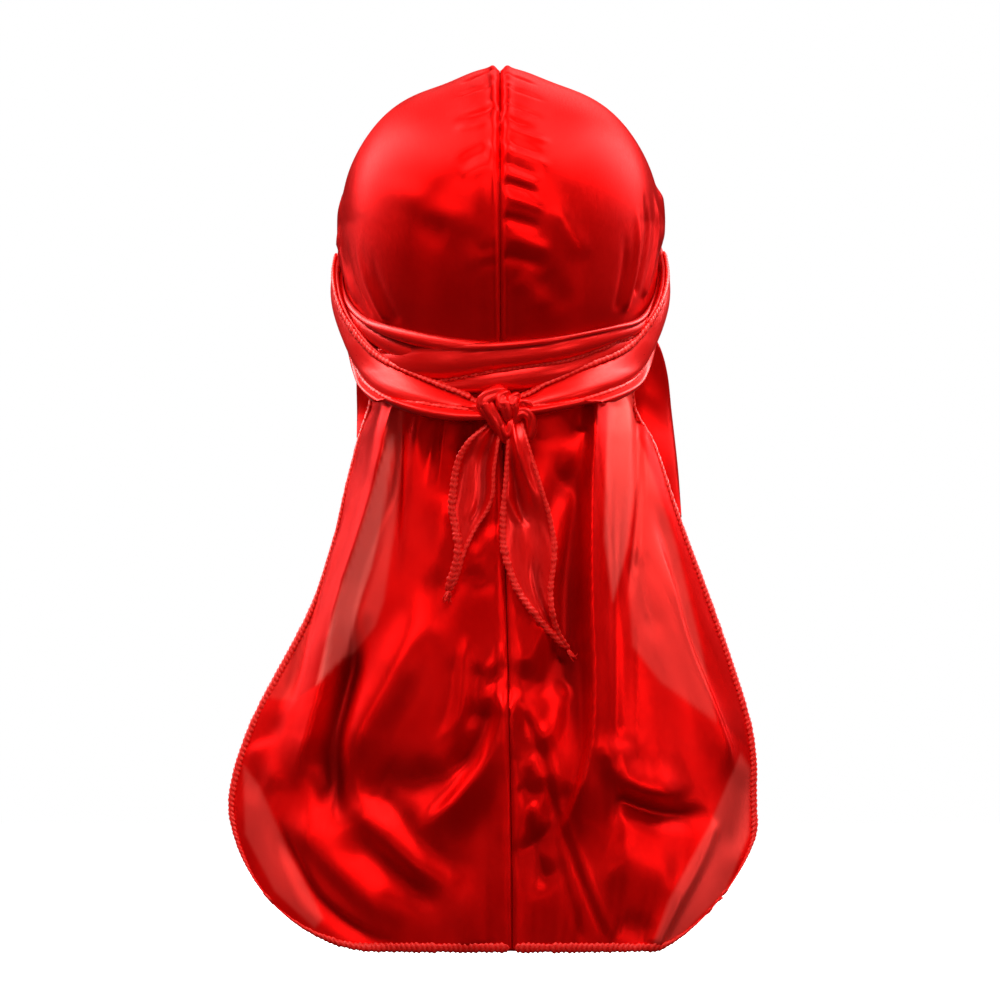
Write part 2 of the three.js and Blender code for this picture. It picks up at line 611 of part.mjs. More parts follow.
// Puts a panel's first column on its side of the seam
function alignSeam(grid, side) {
  for (const [seam] of grid) seam.x = seamX(seam.z) + side * SEAM_CLEARANCE;
}

// The middle of a tie at a turn along its track, and the way its width runs
function tieStation(side, turn) {
  const hand = side < 0 ? "Left" : "Right";
  const rise = TIE_WIDTH * read(TIE_TRACK, "turn", turn, "rise" + hand);
  const width = TIE_WIDTH * read(TIE_TRACK, "turn", turn, "width");
  const layer = read(TIE_TRACK, "turn", turn, "layer" + hand);
  const travel = degToRad(turn > 180 ? turn - 360 : turn);
  const onSide = travel < 0 ? side : -side;
  const angle = Math.abs(travel);
  let z = -TIE_SIDE_DROP;
  for (let i = 0; i < SETTLING_STEPS; i += 1) {
    z = -TIE_SIDE_DROP + TIE_TILT * skin(onSide, angle, z).y + rise;
  }
  return { onSide, angle, z, width, layer };
}

// One tie, swept along its whole way round the head
function tieGeometry(side) {
  const positions = [];
  const triangles = [];
  const first = TIE_TRACK[0].turn;
  const last = TIE_TRACK[TIE_TRACK.length - 1].turn;
  const sides = TIE_PLEATS.length + 3;
  for (let i = 0; i <= TIE_STEPS; i += 1) {
    const station = tieStation(side, lerp(first, last, i / TIE_STEPS));
    const place = (across, thick) => {
      const z = station.z + across * station.width;
      const under = CLOTH + TIE_SEAT + (station.layer - 1) * (TIE_THICKNESS + GAP);
      const normal = skinNormal(station.onSide, station.angle, z);
      return skin(station.onSide, station.angle, z).addScaledVector(normal, under + thick * TIE_THICKNESS);
    };
    const ring = TIE_PLEATS.map((pleat) => place(pleat.across, pleat.thick));
    ring.push(place(0.5, 0), place(0, 0), place(-0.5, 0));
    for (const point of ring) positions.push(point.x, point.y, point.z);
  }
  for (let i = 0; i < TIE_STEPS; i += 1) {
    for (let j = 0; j < sides; j += 1) {
      const a = i * sides + j;
      const b = i * sides + ((j + 1) % sides);
      triangles.push(a, b, b + sides, a, b + sides, a + sides);
    }
  }
  for (const [ring, turned] of [[0, true], [TIE_STEPS, false]]) {
    for (let j = 1; j < sides - 1; j += 1) {
      const a = ring * sides;
      triangles.push(...(turned ? [a, a + j + 1, a + j] : [a, a + j, a + j + 1]));
    }
  }
  return closedGeometry(positions, triangles);
}

function toSolid(geometry) {
  const bare = geometry.clone();
  bare.deleteAttribute("normal");
  bare.deleteAttribute("uv");
  const merged = mergeVertices(bare, 1e-4);
  return new wasm.Manifold(new wasm.Mesh({
    numProp: 3,
    vertProperties: new Float32Array(merged.attributes.position.array),
    triVerts: new Uint32Array(merged.index.array),
  }));
}

function toGeometry(solid) {
  const mesh = solid.getMesh();
  const geometry = new THREE.BufferGeometry();
  geometry.setAttribute("position", new THREE.BufferAttribute(new Float32Array(mesh.vertProperties), 3));
  geometry.setIndex(new THREE.BufferAttribute(new Uint32Array(mesh.triVerts), 1));
  return geometry;
}

// A ball with its own three half-sizes
function ballGeometry(halfWidth, halfDepth, halfHeight, segments) {
  const geometry = new THREE.SphereGeometry(1, segments, Math.round(RINGS_PER_SEGMENT * segments));
  geometry.rotateX(Math.PI / 2);
  return geometry.scale(halfWidth, halfDepth, halfHeight);
}

// The knot's solid, grown by a margin where it cuts its neighbours
function knotSolid(margin) {
  const z = -KNOT_DROP;
  const y = skin(1, 0, z).y - CLOTH - GAP - KNOT_HALF_DEPTH;
  const coreSizes = [KNOT_HALF_WIDTH, KNOT_HALF_DEPTH, KNOT_HALF_HEIGHT].map((size) => size + margin);
  const core = ballGeometry(...coreSizes, KNOT_SEGMENTS).translate(KNOT_X, y, z);
  const strand = KNOT_STRAND + KNOT_STRAND_MARGIN * margin;
  const wrap = new THREE.TorusGeometry(KNOT_HALF_HEIGHT, strand, KNOT_WRAP_SEGMENTS, KNOT_SEGMENTS);
  wrap.scale(1, KNOT_HALF_DEPTH / (KNOT_HALF_HEIGHT + KNOT_STRAND), 1);
  wrap.rotateY(Math.PI / 2).translate(KNOT_X - KNOT_WRAP_X, y - KNOT_WRAP_OUT, z);
  const loopSizes = [KNOT_LOOP_HALF_WIDTH, KNOT_LOOP_HALF_DEPTH, KNOT_LOOP_HALF_HEIGHT]
    .map((size) => size + margin);
  const loop = ballGeometry(...loopSizes, KNOT_LOOP_SEGMENTS);
  loop.translate(KNOT_X + KNOT_LOOP_X, y, z - KNOT_LOOP_DROP);
  return toSolid(core).add(toSolid(wrap)).add(toSolid(loop));
}

// A loose end of a tie: a narrow sheet that hangs from the knot over the tail
function endGeometry(table, length) {
  const grid = [];
  for (let i = 0; i <= END_STEPS; i += 1) {
    const along = i / END_STEPS;
    const z = -END_DROP - along * length;
    const from = KNOT_X + END_WIDTH * read(table, "along", along, "from");
    const to = KNOT_X + END_WIDTH * read(table, "along", along, "to");
    const lift = END_LIFT * read(table, "along", along, "lift");
    const row = [];
    for (let j = 0; j <= END_COLUMNS; j += 1) {
      const x = lerp(from, to, j / END_COLUMNS);
      const { side, turn } = skinAcross(x, z);
      const across = (turn / hemTurn(z)) * halfLength(side, z) * side;
      const bow = END_BOW * lift * Math.sin((Math.PI * j) / END_COLUMNS);
      const relief = CLOTH + 2 * GAP + lift + bow + foldRelief(side, across, z);
      row.push(skin(side, turn, z).addScaledVector(skinNormal(side, turn, z), relief));
    }
    grid.push(row);
  }
  return wallGeometry(grid, moveAlong(grid, gridNormals(grid, 1), () => CLOTH));
}

const satin = { color: 0xd00410, roughness: 0.32, metalness: 0 };
const group = new THREE.Group();

function addPiece(name, geometry) {
  const material = new THREE.MeshStandardMaterial({ ...satin });
  material.color.multiplyScalar(SHADES[name]);
  const mesh = new THREE.Mesh(geometry, material);
  mesh.name = name;
  group.add(mesh);
}

// The knot is put in first, so the ties and their ends are cut clear of it
const clearance = knotSolid(GAP);

function clearOfKnot(geometry) {
  return toGeometry(toSolid(geometry).subtract(clearance));
}

addPiece("panel_left", panelGeometry(-1));
addPiece("panel_right", panelGeometry(1));
addPiece("tie_left", clearOfKnot(tieGeometry(-1)));
addPiece("tie_right", clearOfKnot(tieGeometry(1)));
addPiece("knot", toGeometry(knotSolid(0)));
addPiece("tie_end_left", clearOfKnot(endGeometry(END_LEFT, END_LEFT_LENGTH)));
addPiece("tie_end_right", clearOfKnot(endGeometry(END_RIGHT, END_RIGHT_LENGTH)));

export default group;
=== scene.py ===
# %% [markdown]
# A satin durag, worn and tied, seen from behind.
# Two panels are sewn along the middle of the head and run on into a long tail. Two ties start at the
# temples, cross at the nape and at the forehead, come back and are knotted at the nape.
# The frame holds the durag's true sizes. This lesson dresses it: cloth with its folds, pleated ties,
# overlocked edges, the knot, and the satin itself. Sizes are written in millimetres, as a tailor would,
# and only the meshes are made in metres.

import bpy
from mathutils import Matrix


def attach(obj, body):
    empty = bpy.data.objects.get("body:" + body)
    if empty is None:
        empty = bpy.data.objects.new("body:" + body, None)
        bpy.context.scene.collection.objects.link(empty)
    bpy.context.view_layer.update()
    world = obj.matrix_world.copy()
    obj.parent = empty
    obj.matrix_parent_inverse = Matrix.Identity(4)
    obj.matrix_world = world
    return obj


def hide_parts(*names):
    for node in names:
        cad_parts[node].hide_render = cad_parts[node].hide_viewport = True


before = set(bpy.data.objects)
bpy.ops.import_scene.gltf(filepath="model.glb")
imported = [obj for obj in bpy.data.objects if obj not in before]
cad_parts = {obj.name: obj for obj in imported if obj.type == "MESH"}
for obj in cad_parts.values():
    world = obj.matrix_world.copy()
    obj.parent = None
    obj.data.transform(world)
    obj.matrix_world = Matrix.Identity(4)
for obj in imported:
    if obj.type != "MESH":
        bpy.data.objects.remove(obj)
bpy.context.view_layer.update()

# %% Tools of the lesson
import math
from collections import namedtuple

import bpy
import numpy as np
from mathutils import Matrix, Vector

MM = 0.001
SEED = 7

# %% [markdown]
# Every colour below is written as it shows on screen, an sRGB hex value. Blender's shaders want linear
# light, so one function turns the first into the second. Another adds a shader node, sets its settings
# and links its inputs in one call, which keeps each material short enough to read.

# %% Colours and nodes


def linear(hex_colour):
    """An sRGB hex colour as the linear colour that shaders use."""
    parts = [int(hex_colour[i:i + 2], 16) / 255 for i in (0, 2, 4)]
    return [p / 12.92 if p <= 0.04045 else ((p + 0.055) / 1.055) ** 2.4 for p in parts] + [1.0]


def add_node(tree, kind, links=(), values=(), **settings):
    """Add a node with its settings, link its inputs and set the values of the others."""
    node = tree.nodes.new(kind)
    for name, value in settings.items():
        setattr(node, name, value)
    for name, value in dict(values).items():
        node.inputs[name].default_value = value
    for name, socket in dict(links).items():
        tree.links.new(socket, node.inputs[name])
    return node


def new_material(name):
    """An empty material and its node tree."""
    material = bpy.data.materials.new(name)
    material.use_nodes = True
    material.node_tree.nodes.clear()
    return material, material.node_tree


def add_ramp(tree, factor, stops):
    """A colour ramp through stops of a place and a hex colour."""
    ramp = add_node(tree, "ShaderNodeValToRGB", {"Fac": factor})
    while len(ramp.color_ramp.elements) < len(stops):
        ramp.color_ramp.elements.new(0.5)
    for element, (place, shade) in zip(ramp.color_ramp.elements, stops):
        element.position = place
        element.color = linear(shade)
    return ramp.outputs["Color"]


print("the dye ff0a08 in linear light:", [round(value, 3) for value in linear("ff0a08")[:3]])

# %% [markdown]
# Polyester satin, woven from dyed filament. Each warp thread floats over four cross threads before it
# dips under one, so the face is nearly all smooth, parallel filament. That gives deep red cloth with
# soft highlights in the dye's own colour, and a fine grain along the warp.
# It could be a plain glossy plastic, but that looks wet. Filaments are tiny cylinders, so they spread a
# highlight sideways, across the warp, and keep it narrow along the warp. The shader's anisotropy does
# that, and a tangent from the cloth's map tells it which way is across. A large part of the shine is
# set as metallic, because light that has passed through dyed filaments comes back dyed. Typical values:
# IOR 1.5 for polyester, roughness 0.3 to 0.45.
# Two values from 0 to 1 come with each mesh. sheer is high where the tail hangs in a single layer: there
# the cloth is duller, and its colour is paler as painted light, which stands in for light coming through it.
# The other value is high in folds, creases, along the seam and at double layers, and there a deeper red is
# painted in as shade.

# %% Satin
WARP_PITCH = 0.8  # mm. Real warp floats lie about 0.1 mm apart: drawn coarser, or they wouldn't show
WEFT_PITCH = 1.1  # mm. Real dips of the floats are about 0.3 mm apart: drawn coarser for the same reason
FLOAT_STRETCH = 0.12  # how much shorter the noise's steps are across a float than along it
GRAIN_DEPTH = 0.06  # mm. About a filament's own thickness
DYE_CLOUDS = 28.0  # soft light and dark places in a metre of cloth, as uneven dyeing leaves them
# The first red is painted in as shade in folds and hollows, the second as light that comes through a single
# layer, the third tints the shine
PAINTED_SHADE_RED, PAINTED_BACKLIGHT_PINK, SATIN_TINT = "940000", "ff6258", "ff8880"
ROUGHNESS_SPREAD = 0.08  # how much the weave's floats and dips differ
SHEER_ROUGHNESS, SHEER_SHINE = 0.1, 0.4  # a single layer is rougher, and keeps this share of the shine


def satin_material(name, deep, bright, roughness, grain, stretch, level, metal):
    """Dyed polyester satin. deep and bright are the dye's darkest and lightest reds. grain is how strong
    the weave's relief is, and stretch how much the highlights spread across the warp. level and metal
    are the strength of its undyed and of its dyed shine."""
    material, tree = new_material(name)
    where = add_node(tree, "ShaderNodeUVMap", uv_map="cloth")
    threads = add_node(tree, "ShaderNodeMapping", {"Vector": where.outputs["UV"]},
                       {"Scale": (1 / (WARP_PITCH * MM), FLOAT_STRETCH / (WEFT_PITCH * MM), 1)})
    floats = add_node(tree, "ShaderNodeTexNoise", {"Vector": threads.outputs["Vector"]},
                      {"Scale": 1.0, "Detail": 2.0, "Roughness": 0.6})
    dips = add_node(tree, "ShaderNodeTexNoise", {"Vector": where.outputs["UV"]},
                    {"Scale": 1 / (WEFT_PITCH * MM), "Detail": 1.0, "Roughness": 0.5})
    weave = add_node(tree, "ShaderNodeMath", {0: floats.outputs["Fac"], 1: dips.outputs["Fac"]},
                     operation="ADD")
    place = add_node(tree, "ShaderNodeTexCoord")
    clouds = add_node(tree, "ShaderNodeTexNoise", {"Vector": place.outputs["Object"]},
                      {"Scale": DYE_CLOUDS, "Detail": 3.0, "Roughness": 0.55})
    dye = add_ramp(tree, clouds.outputs["Fac"], [(0.3, deep), (0.7, bright)])
    # A deeper red painted in as shade where the mesh says the cloth lies hollow
    hollow = add_node(tree, "ShaderNodeAttribute", attribute_name="hollow")
    painted_shade = add_node(tree, "ShaderNodeMixRGB", {"Fac": hollow.outputs["Fac"], "Color1": dye},
                      {"Color2": linear(PAINTED_SHADE_RED)})
    # A paler pink painted in as light that comes through a single layer
    sheer = add_node(tree, "ShaderNodeAttribute", attribute_name="sheer")
    painted_backlight = add_node(tree, "ShaderNodeMixRGB",
                     {"Fac": sheer.outputs["Fac"], "Color1": painted_shade.outputs["Color"]},
                     {"Color2": linear(PAINTED_BACKLIGHT_PINK)})
    fine = add_node(tree, "ShaderNodeMapRange", {"Value": weave.outputs["Value"]},
                    {"From Min": 0.6, "From Max": 1.4, "To Min": roughness - ROUGHNESS_SPREAD,
                     "To Max": roughness + ROUGHNESS_SPREAD})
    rough = add_node(tree, "ShaderNodeMath", {0: sheer.outputs["Fac"], 2: fine.outputs["Result"]},
                     {1: SHEER_ROUGHNESS}, operation="MULTIPLY_ADD")
    shine = add_node(tree, "ShaderNodeMapRange", {"Value": sheer.outputs["Fac"]},
                     {"To Min": metal, "To Max": SHEER_SHINE * metal})
    bump = add_node(tree, "ShaderNodeBump", {"Height": weave.outputs["Value"]},
                    {"Strength": grain, "Distance": GRAIN_DEPTH * MM})
    across = add_node(tree, "ShaderNodeTangent", direction_type="UV_MAP", uv_map="cloth")
    shader = add_node(tree, "ShaderNodeBsdfPrincipled",
                      {"Base Color": painted_backlight.outputs["Color"], "Roughness": rough.outputs["Value"],
                       "Metallic": shine.outputs["Result"], "Normal": bump.outputs["Normal"],
                       "Tangent": across.outputs["Tangent"]},
                      {"IOR": 1.5, "Specular IOR Level": level, "Specular Tint": linear(SATIN_TINT),
                       "Anisotropic": stretch})
    add_node(tree, "ShaderNodeOutputMaterial", {"Surface": shader.outputs["BSDF"]})
    return material


panel_satin = satin_material("red_polyester_satin", deep="ee0000", bright="ff0a08", roughness=0.42,
                             grain=0.6, stretch=0.72, level=0.5, metal=0.76)
# The ties are creased both ways, so their highlights spread evenly, and the pressed folds shine more
# The ties' reds are set a little lighter than the panels', as painted light
tie_satin = satin_material("red_polyester_satin_folded", deep="fc0402", bright="ff100c", roughness=0.34,
                           grain=0.25, stretch=0.0, level=1.0, metal=0.4)
print("satin: warp drawn every", WARP_PITCH, "mm")

# %% [markdown]
# Spun polyester sewing thread. The overlock machine wraps three threads round each raw edge. Thread is
# twisted from short fibres, so it scatters light and shows the dye plainly. Its colour is painted darker
# between its loops, as shade, and lighter on their crests, as highlight. The mesh says where the crests
# are, with a value named crest, and a fine noise adds the plies.

# %% Thread
PLY_PITCH = 0.5  # mm. Sewing thread's plies repeat about every 0.4 mm
PLY_DEPTH = 0.15  # mm
CREST_PAINTED_LIGHT = 0.3  # how much lighter a loop's crest is, beside the plies' own unevenness


def thread_material(name):
    """Red spun polyester thread."""
    material, tree = new_material(name)
    place = add_node(tree, "ShaderNodeTexCoord")
    plies = add_node(tree, "ShaderNodeTexNoise", {"Vector": place.outputs["Object"]},
                     {"Scale": 1 / (PLY_PITCH * MM), "Detail": 2.0, "Roughness": 0.6})
    crest = add_node(tree, "ShaderNodeAttribute", attribute_name="crest")
    lit = add_node(tree, "ShaderNodeMath", {0: crest.outputs["Fac"], 2: plies.outputs["Fac"]},
                   {1: CREST_PAINTED_LIGHT}, operation="MULTIPLY_ADD")
    # Painted shade between the loops and painted highlight on their crests, over the plies' uneven tone
    dye = add_ramp(tree, lit.outputs["Value"], [(0.4, "cc0302"), (0.6, "fc0e08"), (0.92, "ff3a30")])
    bump = add_node(tree, "ShaderNodeBump", {"Height": plies.outputs["Fac"]},
                    {"Strength": 0.5, "Distance": PLY_DEPTH * MM})
    shader = add_node(tree, "ShaderNodeBsdfPrincipled", {"Base Color": dye, "Normal": bump.outputs["Normal"]},
                      {"Roughness": 0.4, "IOR": 1.5, "Specular IOR Level": 0.6,
                       "Specular Tint": linear("ff9890")})
    add_node(tree, "ShaderNodeOutputMaterial", {"Surface": shader.outputs["BSDF"]})
    return material


thread = thread_material("red_spun_polyester_thread")
print("thread: plies every", PLY_PITCH, "mm")

# %% [markdown]
# Shapes that follow a few given numbers need tables that can be read between their rows. A table
# here is a dictionary of named columns, and it is read along a smooth curve through its rows.

# %% Tables and blends


def table(columns, *rows):
    """A table of named columns. The first column says where each row stands."""
    return dict(zip(columns.split(), np.array(rows, float).T))


def blend(low, high, share):
    """From low at share 0 to high at share 1."""
    return low + (high - low) * share


def smooth(value, low, high):
    """0 below low, 1 above high, and an S curve between them."""
    t = np.clip((np.asarray(value, float) - low) / (high - low), 0, 1)
    return t * t * (3 - 2 * t)


def read(rows, at, column):
    """The value of one column at a place, on a smooth curve through the rows."""
    keys, values = next(iter(rows.values())), rows[column]
    at = np.asarray(at, float)
    row = np.clip(np.searchsorted(keys, at, side="left") - 1, 0, len(keys) - 2)
    before, after = np.maximum(row - 1, 0), np.minimum(row + 2, len(keys) - 1)
    low, high = values[row], values[row + 1]
    step = keys[row + 1] - keys[row]
    t = np.clip((at - keys[row]) / step, 0, 1)
    leave = step * (high - values[before]) / (keys[row + 1] - keys[before])
    arrive = step * (values[after] - low) / (keys[after] - keys[row])
    rest = 1 - t
    ends = low * rest * rest * (1 + 2 * t) + high * t * t * (3 - 2 * t)
    return ends + leave * t * rest * rest - arrive * t * t * rest


def unit(vectors):
    """Vectors at length 1."""
    return vectors / np.maximum(np.linalg.norm(vectors, axis=-1, keepdims=True), 1e-9)


def waves(points, length, seed, count=14):
    """Soft random hills, about 1 high, with a chosen wavelength. The same each run."""
    dice = np.random.default_rng(SEED + seed)
    total = np.zeros(points.shape[:-1])
    for direction in unit(dice.normal(size=(count, points.shape[-1]))):
        stretch = dice.uniform(0.7, 1.4)
        total += np.cos(points @ direction * 2 * math.pi * stretch / length + dice.uniform(0, 2 * math.pi))
    return total / math.sqrt(count)


def soften(rows, reach, **padding):
    """Rows of points, each averaged with its neighbours up to reach rows away."""
    window = np.ones(2 * reach + 1) / (2 * reach + 1)
    return np.stack([np.convolve(np.pad(column, reach, **padding), window, "valid") for column in rows.T],
                    axis=-1)


print("halfway up an S curve:", float(smooth(0.5, 0, 1)))

# %% [markdown]
# The cloth lies on a head and hangs from it. Its smooth form is a skin that any place can be asked for,
# by its side of the seam, its turn from the seam and its height. The numbers are the part's own, so
# the dressed cloth stays where its solids are.

# %% The cloth's smooth form
CLOTH = 1.2
HEAD_HALF_WIDTH, HEAD_BACK, HEAD_FRONT = 79.5, 95, 92
CROWN_HEIGHT, NAPE_HEIGHT = 78, 120
NAPE_SECTIONS = table(
    "drop wide back front",
    (-0.14, 0.99, 0.99, 1.0), (0.0, 1.0, 1.0, 1.0), (0.14, 0.99, 0.99, 1.0), (0.33, 0.955, 0.93, 0.98),
    (0.48, 0.89, 0.86, 0.95), (0.61, 0.83, 0.8, 0.92), (0.75, 0.785, 0.76, 0.88), (1.0, 0.74, 0.73, 0.84),
)
NAPE_SEAM_DROP, TAIL_BOTTOM_DROP, TAIL_BLEND_DROP = 172, 441, 30
TAIL_LEFT, TAIL_RIGHT, TAIL_SEAM_SHIFT = 135, 127.5, 6
TAIL_SEAM_BACK, TAIL_HEM_BACK = 106, 86
HEM_TURN, HEM_TURN_FOOT = 78, 26
TAIL_WIDTHS = table(
    "down left right",
    (0.0, 0.5, 0.545), (0.15, 0.574, 0.66), (0.3, 0.66, 0.775), (0.4, 0.74, 0.855),
    (0.5, 0.83, 0.925), (0.6, 0.93, 0.985), (0.73, 1.0, 1.0), (1.0, 1.0, 1.0),
)
TAIL_DEPTHS = table(
    "down seam hem",
    (0.0, 0.69, 0.22), (0.15, 0.76, 0.42), (0.4, 0.88, 0.56),
    (0.7, 0.97, 0.7), (0.9, 1.0, 0.86), (1.0, 1.0, 0.92),
)


def tail_share(z):
    """How far down the tail a height is, from 0 to 1."""
    return np.clip((-z - NAPE_SEAM_DROP) / (TAIL_BOTTOM_DROP - NAPE_SEAM_DROP), 0, 1)


def hem_turn(z):
    """The turn at which a level section of the tail ends in its hem."""
    return np.radians(blend(HEM_TURN, HEM_TURN_FOOT, np.sin(tail_share(z) * math.pi / 2)))


def seam_x(z):
    """How far the seam has shifted to the right at a height."""
    return TAIL_SEAM_SHIFT * smooth(-z, CROWN_HEIGHT, TAIL_BOTTOM_DROP)


def head_section(z):
    """Half-axes of a level section of the head: across, to the back, to the front."""
    above = np.sqrt(np.maximum(0, 1 - (np.maximum(z + CROWN_HEIGHT, 0) / CROWN_HEIGHT) ** 2))
    drop = np.maximum(-z - CROWN_HEIGHT, 0) / NAPE_HEIGHT
    names = {"wide": HEAD_HALF_WIDTH, "back": HEAD_BACK, "front": HEAD_FRONT}
    return [np.where(z > -CROWN_HEIGHT, size * above, size * read(NAPE_SECTIONS, drop, name))
            for name, size in names.items()]


def tail_section(side, z):
    """A level section of the tail: half-width and depth of its ellipse, and how far back its middle is."""
    down, turn = tail_share(z), hem_turn(z)
    half = np.where(side < 0, TAIL_LEFT * read(TAIL_WIDTHS, down, "left"),
                    TAIL_RIGHT * read(TAIL_WIDTHS, down, "right"))
    seam_back = TAIL_SEAM_BACK * read(TAIL_DEPTHS, down, "seam")
    hem_back = TAIL_HEM_BACK * read(TAIL_DEPTHS, down, "hem")
    depth = (seam_back - hem_back) / (1 - np.cos(turn))
    return (half - side * seam_x(z)) / np.sin(turn), depth, seam_back - depth


def skin(side, turn, z):
    """A place on the inner face of the cloth."""
    side, turn, z = np.broadcast_arrays(side, turn, np.asarray(z, float))
    head_wide, head_back, head_front = head_section(z)
    tail_wide, tail_depth, tail_middle = tail_section(side, z)
    to_tail = smooth(-z, NAPE_SEAM_DROP - TAIL_BLEND_DROP, NAPE_SEAM_DROP + TAIL_BLEND_DROP / 2)
    back = np.cos(turn)
    head_y = -back * np.where(back > 0, head_back, head_front)
    y = blend(head_y, -tail_middle - tail_depth * back, to_tail)
    x = seam_x(z) + side * blend(head_wide, tail_wide, to_tail) * np.sin(turn)
    return np.stack([x, y, z], axis=-1)


def skin_normal(side, turn, z):
    """The way out of the cloth at a place."""
    small = 0.01
    across = skin(side, turn + small, z) - skin(side, turn - small, z)
    up = skin(side, turn, z + 1) - skin(side, turn, z - 1)
    return unit(np.cross(across, up) * np.asarray(side)[..., None])


def find_on_back(x, z):
    """The side and the turn of the place that shows at x and z when the durag is seen from behind."""
    x, z = np.asarray(x, float), np.asarray(z, float)
    side = np.where(x < seam_x(z), -1, 1)
    wide = skin(side, math.pi / 2, z)[..., 0] - seam_x(z)
    return side, np.arcsin(np.clip((x - seam_x(z)) / wide, -1, 1))


def on_cloth(x, z, height=0.0):
    """The place that shows at x and z from behind, at a height over the cloth's outer face."""
    side, turn = find_on_back(x, z)
    return skin(side, turn, z) + skin_normal(side, turn, z) * (CLOTH + np.asarray(height))[..., None]


print("tail at its widest:", TAIL_LEFT + TAIL_RIGHT, "mm")

# %% [markdown]
# Each panel is one piece of cloth from the forehead, over the head and down to the foot of the tail.
# Its mesh is a grid: rows run from the seam to the edge, and columns run the long way. A plain ball cut
# in slices would crowd its points at the top of the head. Here each row on the head is an arc from the
# seam to the crown's edge, along the shortest way over a ball that stands for the head, so the points
# lie evenly. Near the seam they lie closer, for the gathers.

# %% The crown's part of the grid
TIE_SIDE_DROP, TIE_TILT = 118, 0.49
RIM_BELOW_SIDE, RIM_BELOW_FRONT = 18, 16
FRONT_CORNER_TURN = 125
TOP_ANGLE = math.radians(93)
FRONT_SHARE = 6 / 26
LOWER_REACH = 1.25 * NAPE_HEIGHT
CROWN_ROWS, TAIL_ROWS, COLUMNS = 226, 168, 112
SEAM_CROWDING = 1.3


def rim_height(turn):
    """The height of the crown's edge at a turn from the nape."""
    below = blend(RIM_BELOW_SIDE, RIM_BELOW_FRONT, smooth(turn, math.pi / 2, math.pi))
    z = np.full(np.shape(turn), -float(TIE_SIDE_DROP))
    for _ in range(6):
        z = -TIE_SIDE_DROP + TIE_TILT * skin(1, turn, z)[..., 1] - below
    return z


def to_direction(turn, z):
    """A place on the head as a direction on a ball."""
    up = (z + CROWN_HEIGHT) / np.where(z > -CROWN_HEIGHT, CROWN_HEIGHT, LOWER_REACH)
    level = np.sqrt(1 - up * up)
    return np.stack([level * np.sin(turn), -level * np.cos(turn), up], axis=-1)


def to_place(direction):
    """The turn and the height that a direction on the ball stands for."""
    reach = np.where(direction[..., 2] > 0, CROWN_HEIGHT, LOWER_REACH)
    turn = np.arctan2(direction[..., 0], -direction[..., 1])
    return turn, -CROWN_HEIGHT + reach * direction[..., 2]


def crown_places():
    """Turn and height of each point of the crown's grid."""
    front = math.asin(to_direction(math.pi, rim_height(math.pi))[2])
    nape = math.pi - math.asin(to_direction(0.0, -float(NAPE_SEAM_DROP))[2])
    share = np.linspace(0, 1, CROWN_ROWS + 1)[:, None]
    behind = (share - FRONT_SHARE) / (1 - FRONT_SHARE)
    angle = np.where(behind < 0, blend(front, TOP_ANGLE, share / FRONT_SHARE),
                     blend(TOP_ANGLE, nape, behind))
    seam = np.stack([np.zeros_like(angle), np.cos(angle), np.sin(angle)], axis=-1)
    turn = np.radians(blend(FRONT_CORNER_TURN, HEM_TURN, smooth(share, -0.2, 1.05)))
    turn[-1] = math.radians(HEM_TURN)
    edge = to_direction(turn, rim_height(turn))
    apart = np.arccos(np.clip(np.sum(seam * edge, axis=-1), -1, 1))[..., None]
    v = (np.linspace(0, 1, COLUMNS + 1) ** SEAM_CROWDING)[None, :, None]
    return to_place(unit(seam * np.sin((1 - v) * apart) + edge * np.sin(v * apart)))


print("the crown's edge: from", round(float(rim_height(0.0))), "mm at the nape to",
      round(float(rim_height(math.pi))), "mm at the forehead")

# %% [markdown]
# The tail is cut with straight hems, a level foot and two round corners, which aren't alike. Its rows
# can't just follow the height, because a corner would then end in a sliver. So the grid is spread between
# four edges, as a net is stretched in a frame: the crown's last row, the seam, the hem as far as the
# corner's middle, and the foot from there.

# %% The tail's part of the grid
# rise is how high a corner begins, flat where the level foot ends, and square how full the corner is
CORNERS = {-1: {"rise": 74, "flat": 64, "square": 1.85}, 1: {"rise": 58, "flat": 77.5, "square": 1.35}}


def tail_edges(side, hem_top):
    """The tail's outline as two functions: down the hem, and along the foot, to the corner's middle."""
    corner, half = CORNERS[side], TAIL_LEFT if side < 0 else TAIL_RIGHT
    corner_z = corner["rise"] - TAIL_BOTTOM_DROP
    power = 2 / corner["square"]

    def place(x, z):
        return np.stack([find_on_back(x, z)[1] / hem_turn(z), z], axis=-1)

    def around(angle):
        angle = np.clip(angle, 0, math.pi / 2)
        x = corner["flat"] + (half - corner["flat"]) * np.cos(angle) ** power
        return place(side * x, corner_z - corner["rise"] * np.sin(angle) ** power)

    half_bow = math.pi / 8 * (half - corner["flat"] + corner["rise"])
    straight = hem_top - corner_z
    run = corner["flat"] - side * seam_x(-TAIL_BOTTOM_DROP)

    def hem(t):
        walked = t * (straight + half_bow) - straight
        upper = np.stack([np.ones_like(t), corner_z - walked], axis=-1)
        bow = around(np.maximum(walked, 0) / half_bow * math.pi / 4)
        return np.where((walked < 0)[..., None], upper, bow)

    def foot(v):
        left = (1 - v) * (run + half_bow)
        flat_x = side * (corner["flat"] + half_bow - np.maximum(left, half_bow))
        level = place(flat_x, np.full(np.shape(v), -float(TAIL_BOTTOM_DROP)))
        bow = around((1 + np.minimum(left, half_bow) / half_bow) * math.pi / 4)
        return np.where((left < half_bow)[..., None], bow, level)

    return hem, foot


